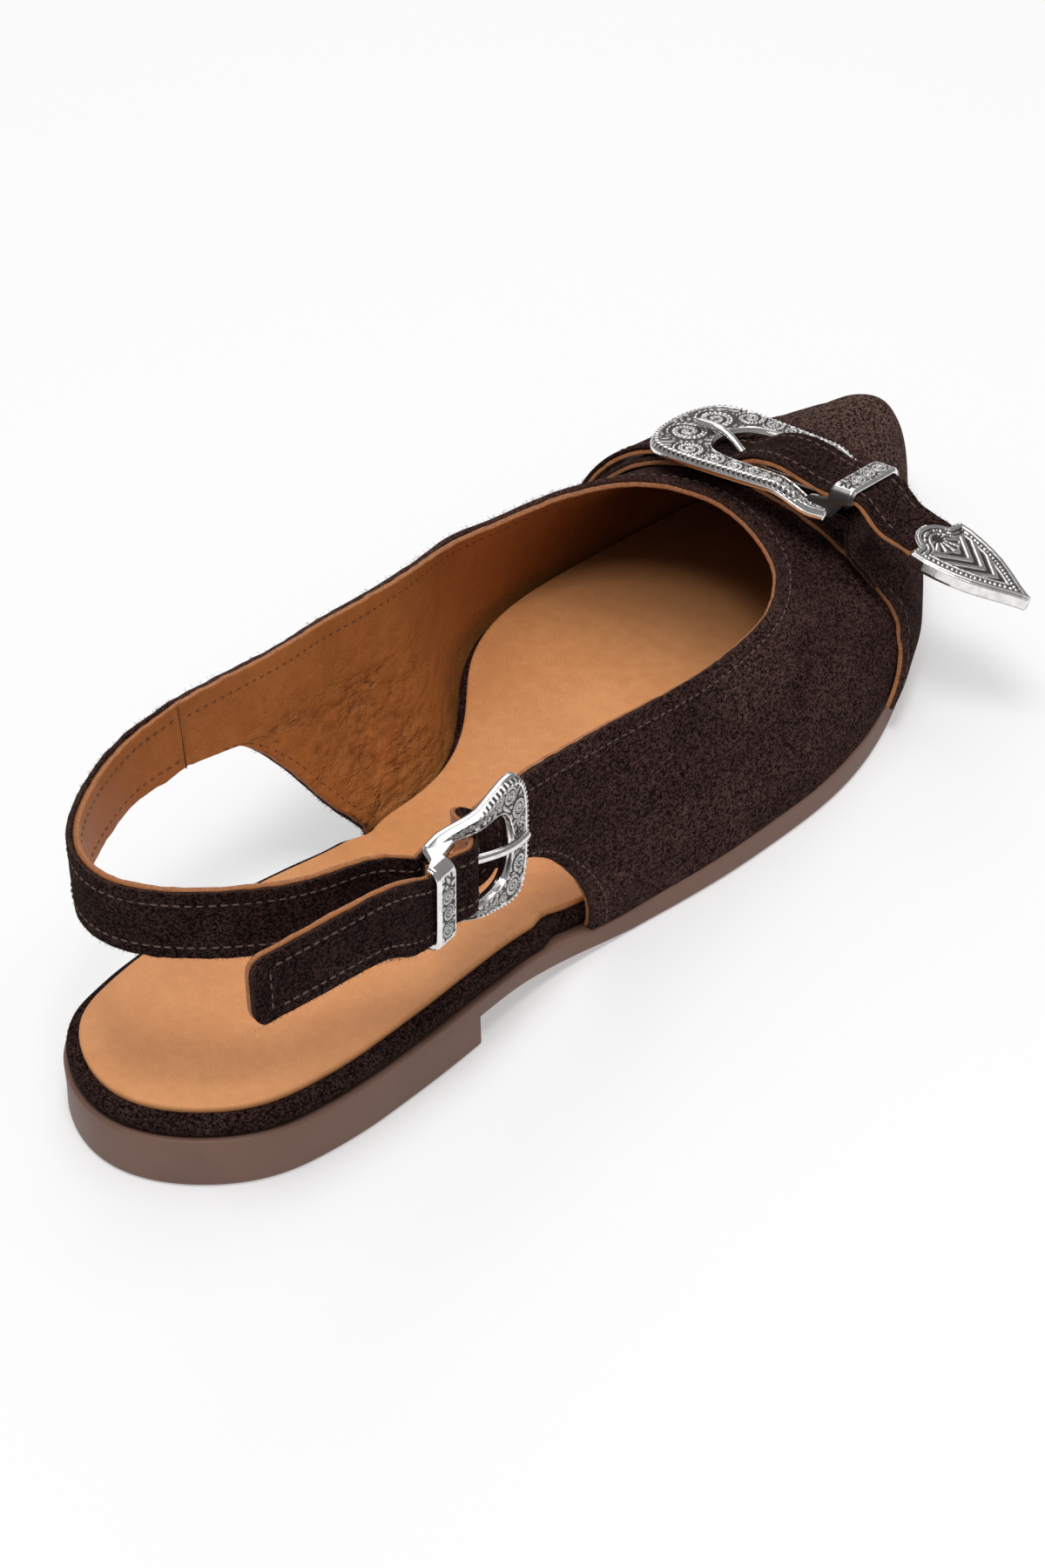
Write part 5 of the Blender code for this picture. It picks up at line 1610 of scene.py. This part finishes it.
def place_scrolls(middle_x, middle_y, widths, fill=0.5):
    """Centres and radii of scrolls that follow one another along a strip, alternately handed."""
    run = np.concatenate([[0], np.cumsum(np.hypot(np.diff(middle_x), np.diff(middle_y)))])
    found, here, hand = [], 0.0, 1
    while True:
        radius = np.interp(here, run, widths) * fill
        centre = here + radius
        if centre + radius * 0.6 > run[-1]:
            return found
        radius = np.interp(centre, run, widths) * fill
        found.append((np.interp(centre, run, middle_x), np.interp(centre, run, middle_y), radius, hand))
        here, hand = centre + radius * 0.96, -hand


def scrolls(x, y, placed):
    """Highest of the scrolls at each point, over a ground of smaller leaves."""
    leaf = np.sin(x / (0.52 * MM) + 2.2 * np.sin(y / (1.15 * MM)))
    leaf = leaf * np.sin(y / (0.60 * MM) + 1.8 * np.sin(x / (1.3 * MM)))
    total = 0.55 * ease((np.abs(leaf) - 0.12) / 0.35)
    for cx, cy, radius, hand in placed:
        near = (x - cx) ** 2 + (y - cy) ** 2 < (radius * 1.02) ** 2
        if near.any():
            total[near] = spiral(x[near] - cx, y[near] - cy, radius, hand)
    return total


def step(value, start, width):
    """Smooth step that starts at a distance."""
    return ease((value - start) / width)


print("height of a curl halfway out:", spiral(np.array([0.5]), np.array([0.0]), 1.0, 1).round(2))

# %% [markdown]
# ## Buckle frames
# Each frame is a horseshoe swept from arm to arm. Its height is drawn over the width: a bright bevelled
# rim, a milled edge, a sunk ground with curls standing on it, and an inner rim. All of it is worked out
# from the distances to the outer and inner edges, so that the rims keep their width where the frame
# narrows into the arms. Carving a block with booleans would lose that.

# %% Frames
MILL_PITCH = 1.2 * MM
CARVING = 0.34 * MM


def frame_relief(flat, widths, share, run, placed):
    """Height over the frame's back, and how dark its recesses are.

    The crown falls off at both edges. The carving is taken from it: between the teeth of the milled
    edge, and on the ground where no curl stands.
    """
    from_out = widths[:, None] * share[None]
    from_in = widths[:, None] * (1 - share)[None]
    wide = ease((widths[:, None] - 3.6 * MM) / (1.5 * MM))
    rim = 0.28 * MM + 0.30 * MM * (1 - wide)
    teeth = np.sin(run * 2 * math.pi / MILL_PITCH)
    teeth = 0.5 + 0.5 * np.sign(teeth) * np.abs(teeth) ** 0.5
    milled = step(from_out, rim, 0.08 * MM) * (1 - step(from_out, rim + 0.95 * MM, 0.08 * MM)) * wide
    ground = step(from_out, rim + 1.25 * MM * wide + 0.05 * MM, 0.10 * MM)
    ground = ground * step(from_in, 0.55 * MM, 0.10 * MM)
    ground = ground * ease((widths[:, None] - 2.3 * MM) / (0.6 * MM))
    relief = scrolls(flat[..., 0], flat[..., 1], placed)
    spread = flat @ np.array([[1, 0, 0], [0, 1, 0]])
    stipple = 0.5 + 0.5 * waves(spread, 0.42 * MM, 71, 10)
    crown = 1 - ease(1 - from_out / (0.75 * MM)) * 0.55 - ease(1 - from_in / (0.5 * MM)) * 0.45
    carve = ground * (1 - relief) * CARVING + ground * 0.05 * MM * (1 - stipple) * (1 - relief)
    carve = carve + milled * (1 - teeth) * CARVING
    recess = np.clip(ground * (1 - relief) * 1.0 + milled * (1 - teeth) * 1.1, 0, 1)
    return FRAME_THICKNESS * crown - carve, recess


def horseshoe(piece, seat, length, front, arms):
    """Frame from arm to arm: its carved face, its inner and outer walls, and its back."""
    outer, inner = ring_edges(length, front, arms)
    turn = np.linspace(0, len(outer) - 1, 500)
    knots = np.arange(len(outer))
    dense = [np.column_stack([spline(np.column_stack([knots, edge_line[:, k]]), 1, turn) for k in (0, 1)])
             for edge_line in (outer, inner)]
    outer, inner = dense
    widths = np.linalg.norm(outer - inner, axis=1)
    share = (1 - np.cos(np.linspace(0, math.pi, 58))) / 2
    share = 0.55 * share + 0.45 * np.linspace(0, 1, 58)
    flat = outer[:, None] * (1 - share)[None, :, None] + inner[:, None] * share[None, :, None]
    run = np.concatenate([[0], np.cumsum(np.linalg.norm(np.diff(outer, axis=0), axis=1))])[:, None]
    middle = (outer + inner) / 2
    room = np.clip(widths - 3.4 * MM, 1.1 * MM, None)
    placed = place_scrolls(middle[:, 0], middle[:, 1], room)
    height, recess = frame_relief(flat, widths, share, run, placed)
    lift = (BAR_RADIUS + FRAME_LIFT) * ease(flat[..., 0] / ARM_RISE) - BAR_RADIUS
    face = np.concatenate([flat, (lift + height)[..., None]], axis=-1)
    back = np.concatenate([flat, (lift + 0.05 * MM)[..., None]], axis=-1)
    drop = [back[:, -1:] + (face[:, -1:] - back[:, -1:]) * k for k in (0.75, 0.4, 0.0)]
    rise = [back[:, :1] + (face[:, :1] - back[:, :1]) * k for k in (0.0, 0.4, 0.75)]
    loop_points = np.concatenate([face] + drop + [back[:, ::-1][:, 5:-5:6]] + rise, axis=1)
    extra = loop_points.shape[1] - face.shape[1]
    recess = np.pad(recess, ((0, 0), (0, extra)))
    centre = loop_points.mean(axis=1, keepdims=True)
    ends = np.broadcast_to(centre, loop_points.shape)
    loop_points = np.concatenate([ends[:1], loop_points, ends[-1:]])
    recess = np.pad(recess, ((1, 1), (0, 0)), mode="edge")
    piece.grid(seat.world(loop_points), round_columns=True, flip=True, recess=recess.ravel())


print("teeth on the side frame, about", round(2 * SIDE_BUCKLE_LENGTH / MILL_PITCH))

# %% [markdown]
# ## Bars and keepers
# The bar is a plain rod between the arms, and the keeper a bridge over it that holds the loose strap
# down. Both are cast with the frame. A bent box would do for the keeper, but its legs get broader at
# the foot, where they close the frame's elbow. So a section is carried up one leg, across and down
# again, and its width changes on the way.

# %% Bars and keepers
FOOT_FLARE = 4.6 * MM


def heel_bar(piece, seat):
    """Round rod along the seat's y, from one leg of the keeper to the other."""
    turn = np.linspace(0, 2 * math.pi, 20, endpoint=False)
    reach = OPENING_HALF + KEEPER_THICKNESS * 0.5
    ys = np.array([-reach, reach])
    bar = np.stack([np.broadcast_to(BAR_RADIUS * np.cos(turn), (2, 20)),
                    np.broadcast_to(ys[:, None], (2, 20)),
                    np.broadcast_to(BAR_RADIUS * np.sin(turn), (2, 20))], axis=-1)
    piece.grid(seat.world(bar), round_columns=True)


def keeper(piece, seat, painted_leg_reflection):
    """Bridge over the bar. Its way has rows of share up the leg, place across and height.

    painted_leg_reflection is a painted dark reflection on the legs, which would otherwise mirror the bright
    sock beside them.
    """
    top = OVER_LIFT + (STRAP_THICKNESS + KEEPER_THICKNESS) / 2 + GAP
    leg = OPENING_HALF + KEEPER_THICKNESS / 2
    corner = 2.3 * MM
    bend = np.radians(np.linspace(0, 90, 14))
    rows = [(0.0, -leg, -BAR_RADIUS * 0.6), (0.55, -leg, top * 0.45)]
    rows += [(1.0, -leg + corner * (1 - math.cos(angle)), top - corner + corner * math.sin(angle))
             for angle in bend]
    rows = np.array(rows)
    span = np.linspace(-leg + corner, 0, 60)[1:]
    rows = np.vstack([rows, np.column_stack([np.ones(59), span, np.full(59, top)])])
    rows = np.vstack([rows, rows[-2::-1] * (1, -1, 1)])
    run = np.concatenate([[0], np.cumsum(np.hypot(np.diff(rows[:, 1]), np.diff(rows[:, 2])))])
    even = np.linspace(0, run[-1], 260)
    rows = np.column_stack([np.interp(even, run, rows[:, k]) for k in range(3)])
    x_mid = -BAR_RADIUS + (BAR_RADIUS - KEEPER_SETBACK) * rows[:, 0]
    flare = FOOT_FLARE * (1 - rows[:, 0] ** 2)
    x_mid = x_mid + flare / 2
    wide_here = KEEPER_FOOT + (KEEPER_WIDTH - KEEPER_FOOT) * rows[:, 0] + flare
    tangent = unit(np.gradient(np.column_stack([rows[:, 1], rows[:, 2]]), axis=0))
    outward = np.column_stack([-tangent[:, 1], tangent[:, 0]])
    w = np.linspace(-1, 1, 44)
    x = x_mid[:, None] + wide_here[:, None] / 2 * w[None]
    gap_edge = wide_here[:, None] / 2 * (1 - np.abs(w))[None]
    on_top = ease((np.abs(rows[:, 2]) - top + 0.25 * MM) / (0.2 * MM))[:, None]
    off_corner = ease((leg - 1.1 * MM - np.abs(rows[:, 1])) / (0.3 * MM))[:, None]
    ground = step(gap_edge, 0.62 * MM, 0.12 * MM) * on_top * off_corner
    strip = np.linspace(-leg + 1.8 * MM, leg - 1.8 * MM, 60)
    places = place_scrolls(strip, np.zeros(60), np.full(60, 3.7 * MM))
    relief = scrolls(np.broadcast_to(rows[:, 1:2], x.shape), x - x_mid[:, None], places)
    high = KEEPER_THICKNESS / 2 * (1 - 0.75 * ease(1 - gap_edge / (0.75 * MM)))
    high = high - ground * (1 - relief) * 0.3 * MM
    low = np.full(x.shape, -KEEPER_THICKNESS / 2)
    outer_face, inner_face = [
        np.stack([x, rows[:, 1:2] + outward[:, :1] * rise, rows[:, 2:3] + outward[:, 1:] * rise], axis=-1)
        for rise in (high, low)]
    around = np.concatenate([outer_face, inner_face[:, ::-1][:, ::3]], axis=1)
    # painted dark reflection on the keeper's legs
    legs = ease((np.abs(rows[:, 1]) - leg + 1.2 * MM) / (0.8 * MM))[:, None] * painted_leg_reflection
    dark = np.pad(ground * (1 - relief) + legs, ((0, 0), (0, around.shape[1] - x.shape[1])))
    piece.grid(seat.world(around), round_columns=True, recess=dark.ravel())


# the last number is how strongly a dark reflection is painted on the keeper's legs
for place_name, seat, length, front, arms, painted_leg_reflection in (
        ("side_buckle", side_seat, SIDE_BUCKLE_LENGTH, SIDE_BUCKLE_FRONT, SLIM, 0.0),
        ("vamp_buckle", vamp_seat, VAMP_BUCKLE_LENGTH, VAMP_BUCKLE_FRONT, BROAD, 0.85)):
    casting = Piece(place_name + "_silver")
    horseshoe(casting, seat, length, front, arms)
    heel_bar(casting, seat)
    keeper(casting, seat, painted_leg_reflection)
    casting.build(SILVER, "metal", place_name)

# %% [markdown]
# ## Prongs
# A prong is a bent rod that hinges on the bar, goes through the strap and rests on the frame's front.
# A bevelled curve could show it. Here a circle is carried along a smooth path, a little thinner towards
# its blunt tip.

# %% Prongs
def silver_prong(name, seat, rows, node):
    """Polished prong: a tapering round rod with a blunt tip."""
    path, _, at = smooth_path(seat.middle(rows), 60)
    tangent = unit(np.gradient(path, axis=0))
    out = unit(np.cross(tangent, seat.y))
    radius = PRONG_RADIUS * (1.3 - 0.25 * at) * np.sqrt(np.clip((1 - at) / 0.03, 0.02, 1))
    ring = np.linspace(0, 2 * math.pi, 18, endpoint=False)
    points = path[:, None] + radius[:, None, None] * (
        np.cos(ring)[None, :, None] * seat.y * 1.15 + np.sin(ring)[None, :, None] * out[:, None])
    return Piece(name).grid(points, round_columns=True, recess=0.0).build(SILVER, "metal", node)


silver_prong("side_prong_silver", side_seat, SIDE_PRONG, "side_prong")
silver_prong("vamp_prong_silver", vamp_seat, VAMP_PRONG, "vamp_prong")

# %% [markdown]
# ## Strap tip
# The cast tip keeps the strap's end from fraying. Its height is drawn from the distance to its own
# outline: a polished rim, a row of beads in a dark channel, and a raised heart with a fan of lines. The
# beads are counted along the outline, so that they stay evenly spaced round its point.

# %% Relief of the tip
BEAD_PITCH = 1.05 * MM
BEAD_RADIUS = 0.47 * MM
BEAD_DEPTH = 1.95 * MM


def tip_relief(px, py, outline, run):
    """Height of the tip's face over its middle plane, and how dark its recesses are.

    px and py are places along and across the tip, outline is its border and run the lengths along it.
    """
    gaps = np.hypot(px[..., None] - outline[None, None, ::2, 0],
                    py[..., None] - outline[None, None, ::2, 1])
    nearest = gaps.argmin(axis=-1)
    away = gaps.min(axis=-1)
    arc = run[::2][nearest]
    bead = np.hypot(away - BEAD_DEPTH, np.mod(arc, BEAD_PITCH) - BEAD_PITCH / 2)
    bead_high = np.sqrt(np.clip(1 - (bead / BEAD_RADIUS) ** 2, 0, 1))
    channel = step(away, 1.15 * MM, 0.15 * MM) * (1 - step(away, 2.65 * MM, 0.15 * MM))
    heart = step(away, 2.8 * MM, 0.15 * MM)
    centre_x = 0.16 * TIP_LENGTH
    angle = np.arctan2(py, px - centre_x)
    r = np.hypot(py, px - centre_x)
    fan = ease((0.5 + 0.5 * np.cos(angle * 13)) * 1.8 - 0.4) * ease((r - 1.2 * MM) / (0.3 * MM))
    ring_line = 1 - ease(np.abs(r - 4.6 * MM) / (0.28 * MM))
    chevron = 0.5 + 0.5 * np.cos((px + 1.1 * np.abs(py)) / (0.50 * MM))
    rays = np.maximum(np.where(r < 4.4 * MM, fan, ease(chevron * 1.6 - 0.3)), ring_line)
    inner_part = step(away, 3.1 * MM, 0.12 * MM) * (1 - rays)
    high = 0.5 * TIP_THICKNESS - 0.45 * MM * ease(1 - away / (0.5 * MM))
    high = high - channel * (0.42 * MM - 0.38 * MM * bead_high) - heart * 0.12 * MM - inner_part * 0.26 * MM
    return high, np.clip(channel * (1 - bead_high) + inner_part * 0.95, 0, 1)


print("beads round the tip, about", round(2 * TIP_LENGTH / BEAD_PITCH))

# %% [markdown]
# ## Mesh of the tip
# The tip could be a flat sheet with a solid wall, but a closed grid keeps its rim crisp. Its lines are
# closely set towards the edges, a wall and a coarser underside close it, and its ends meet in a point.

# %% Tip
TIP_ROWS, TIP_COLUMNS = 200, 96


def silver_tip():
    """Cast tip on the end of the vamp strap."""
    start, end = from_shares([VAMP_TAIL[-1]])[0], from_shares([TIP_END])[0]
    ahead = unit(end - start)
    up = unit(vamp_seat.z - np.dot(vamp_seat.z, ahead) * ahead)
    side_way = np.cross(up, ahead)
    table = np.array(TIP_OUTLINE)
    line_x = np.linspace(0, 1, 400)
    half = np.interp(line_x, table[:, 0], table[:, 1]) * TIP_WIDTH / 2
    outline = np.column_stack([line_x * TIP_LENGTH, half])
    outline = np.vstack([outline, (outline * (1, -1))[::-1]])
    run = np.concatenate([[0], np.cumsum(np.linalg.norm(np.diff(outline, axis=0), axis=1))])
    x = np.linspace(0, 1, TIP_ROWS)
    w = np.sin(np.linspace(-1, 1, TIP_COLUMNS) * math.pi / 2)
    half = np.interp(x, table[:, 0], table[:, 1]) * TIP_WIDTH / 2
    px = np.broadcast_to((x * TIP_LENGTH)[:, None], (TIP_ROWS, TIP_COLUMNS))
    py = half[:, None] * w[None]
    high, recess = tip_relief(px, py, outline, run)

    def world(along_tip, over, height):
        return (start + (2 * GAP + along_tip)[..., None] * ahead + over[..., None] * side_way
                + height[..., None] * up)

    top = world(px, py, high)
    under = world(px, py, np.full(px.shape, -0.5 * TIP_THICKNESS))
    column = np.full((TIP_ROWS, 1), TIP_THICKNESS)
    wall = [world(px[:, -1:], py[:, -1:], column * k) for k in (0.25, 0.0, -0.3)]
    wall_back = [world(px[:, :1], py[:, :1], column * k) for k in (-0.3, 0.0, 0.25)]
    around = np.concatenate([top] + wall + [under[:, ::-1][:, ::5]] + wall_back, axis=1)
    dark = np.pad(recess, ((0, 0), (0, around.shape[1] - TIP_COLUMNS)))
    middle = around.mean(axis=1, keepdims=True)
    around = np.concatenate([np.broadcast_to(middle[:1], around[:1].shape), around,
                             np.broadcast_to(middle[-1:], around[:1].shape)])
    dark = np.pad(dark, ((1, 1), (0, 0)))
    piece = Piece("strap_tip_silver").grid(around, round_columns=True, flip=True, recess=dark.ravel())
    return piece.build(SILVER, "metal", "strap_tip")


silver_tip()

# %% [markdown]
# ## Loose fibres
# Suede's cut edges shed short fibres, which soften the outline against the light floor. A hair system
# would be lost in the export, so each fibre is a thin curved spike of four sides, and one mesh holds
# them all. They start at random points of the edges and lean out of them.

# %% Fibres
def fibres(piece, points, out, count, length, seed):
    """Thin spikes that start at random points of a line and lean out of it."""
    rng = np.random.default_rng(seed)
    place = rng.uniform(0, len(points) - 1.001, count)
    k = place.astype(int)
    t = (place - k)[:, None]
    base = points[k] * (1 - t) + points[k + 1] * t
    way = unit(unit(out[k]) + rng.normal(0, 0.55, (count, 3)))
    bend = unit(way + rng.normal(0, 0.6, (count, 3)))
    size = length * rng.uniform(0.35, 1.3, count)[:, None]
    middle = base + way * size * 0.5
    end = middle + bend * size * 0.5
    side_way = unit(np.cross(way, rng.normal(size=(count, 3))))
    other = np.cross(way, side_way)
    rings = []
    for centre, width in ((base, 0.035 * MM), (middle, 0.028 * MM), (end, 0.008 * MM)):
        rings.append(np.stack([centre + side_way * width, centre + other * width,
                               centre - side_way * width, centre - other * width], axis=1))
    grid = np.stack(rings, axis=1)
    one = quads(3, 4, True)
    faces = (one[None] + (np.arange(count) * 12)[:, None, None]).reshape(-1, 4)
    return piece.raw(grid, faces)


fuzz = Piece("loose_fibres")
top_line = suede_face[-1] + 0.3 * MM * unit(suede_face[-1] - suede_face[-3])
fibres(fuzz, top_line, unit(suede_face[-1] - suede_face[-3]) + normal[-1], 600, 0.8 * MM, 81)
for pick in (0, -1):
    line = suede_face[:, pick]
    step_in = suede_face[:, 2] if pick == 0 else suede_face[:, -3]
    fibres(fuzz, line, unit(line - step_in) + normal[:, pick], 180, 0.8 * MM, 82 + pick)
for number, layer_made in enumerate((sling[0], side[0], over[0])):
    dense, across, face, half = layer_made
    for sign in (-1, 1):
        line = dense + across * sign * STRAP_WIDTH / 2 + face * half[:, None] * 0.7
        fibres(fuzz, line, across * sign + face * 0.6, 420, 0.7 * MM, 90 + number * 2 + sign)
rim = loop(dense_stations(400), board_inset, lambda at: board_top(at, BOARD_EDGE_ROUND))
away = unit(np.cross(np.gradient(rim, axis=0), (0, 0, 1)))
for depth, seed in ((0.0, 101), (0.7, 102), (1.5, 103)):
    fibres(fuzz, rim - (0, 0, depth * MM), -away + (0, 0, 0.3), 560, 0.55 * MM, seed)
line = band_face[0]
fibres(fuzz, line, unit(band_face[0] - band_face[3]) + way[0], 360, 0.8 * MM, 97)
fuzz.build(FUZZ, "suede")

# %% [markdown]
# ## Floor
# The shoe stands on white paper that is lit until it is nearly white itself, so its shadows are pale. A
# compositor could lighten them, but the floor does it alone: it glows a little, and the lights only
# have to add the rest. It is large enough to fill every view down to the horizon.

# %% Floor
FLOOR_REACH = 6.0
floor_mesh = bpy.data.meshes.new("floor")
corners = [(x * FLOOR_REACH, y * FLOOR_REACH, 0) for x, y in ((-1, -1), (1, -1), (1, 1), (-1, 1))]
floor_mesh.from_pydata(corners, [], [(0, 1, 2, 3)])
floor = bpy.data.objects.new("floor", floor_mesh)
bpy.context.scene.collection.objects.link(floor)
paper = Shader("paper")
floor_mesh.materials.append(paper.done(
    Base_Color=(0.57, 0.57, 0.57), Roughness=0.9, Specular_IOR_Level=0.1,
    Emission_Color=(0.40, 0.40, 0.40), Emission_Strength=1.0))

# %% [markdown]
# ## Light
# The shadow inside the heel shows where the light came from: its edge, traced back to the edge of the
# upper that throws it, points almost straight up. So a small strong key stands nearly overhead, a broad
# weak sky softens the shadow on the floor, and a card in front of the toe gives the silver something
# bright to mirror towards the camera. One large lamp alone would leave the metal dark.

# %% Light
bpy.context.scene.view_settings.view_transform = "Standard"
world = bpy.data.worlds.new("studio")
world.use_nodes = True
world.node_tree.nodes["Background"].inputs[0].default_value = (1, 1, 1, 1)
world.node_tree.nodes["Background"].inputs[1].default_value = 0.25
bpy.context.scene.world = world


def soft_light(name, place, target, size, power):
    """Square area light that looks at a point."""
    data = bpy.data.lights.new(name, "AREA")
    data.size = size
    data.energy = power
    lamp = bpy.data.objects.new(name, data)
    lamp.location = place
    lamp.rotation_euler = (Vector(target) - Vector(place)).to_track_quat("-Z", "Y").to_euler()
    bpy.context.scene.collection.objects.link(lamp)
    print(name, "light,", power, "W,", size, "m wide")


soft_light("sky", (0.0, 0.09, 1.50), (0, 0.0901, 0.0), 1.6, 10.5)
soft_light("key", (0.27, -0.26, 1.27), (0, 0.09, 0.03), 0.36, 6.9)
soft_light("card", (-0.70, 0.95, 0.88), (0, 0.09, 0.03), 0.9, 3.4)

# %% [markdown]
# ## Camera
# The camera stands behind the shoe on its outer side and looks down. Its place was worked out from
# points of the sole that can be measured in the photograph. Angles, distance and a target say the same
# as a matrix but can be read, so the matrix is built from them here: back from the target, then rolled
# a little.

# %% Camera
AZIMUTH, ELEVATION, ROLL_ANGLE = math.radians(38.9), math.radians(37.63), math.radians(-2.52)
TARGET = Vector((2.17 * MM, 118.87 * MM - HEEL_TO_ORIGIN, 15 * MM))
DISTANCE = 1010.8 * MM
back = Vector((math.sin(AZIMUTH) * math.cos(ELEVATION), -math.cos(AZIMUTH) * math.cos(ELEVATION),
               math.sin(ELEVATION)))
right = Vector((math.cos(AZIMUTH), math.sin(AZIMUTH), 0))
up = back.cross(right)
rolled_right = right * math.cos(ROLL_ANGLE) + up * math.sin(ROLL_ANGLE)
rolled_up = up * math.cos(ROLL_ANGLE) - right * math.sin(ROLL_ANGLE)
lens = bpy.data.cameras.new("camera")
lens.sensor_fit = "VERTICAL"
lens.sensor_height = 36
lens.lens = 119.32
camera = bpy.data.objects.new("camera", lens)
place = TARGET + back * DISTANCE
camera.matrix_world = Matrix((
    (rolled_right.x, rolled_up.x, back.x, place.x),
    (rolled_right.y, rolled_up.y, back.y, place.y),
    (rolled_right.z, rolled_up.z, back.z, place.z),
    (0, 0, 0, 1)))
bpy.context.scene.collection.objects.link(camera)
bpy.context.scene.camera = camera
print("camera at", [round(value, 3) for value in place])
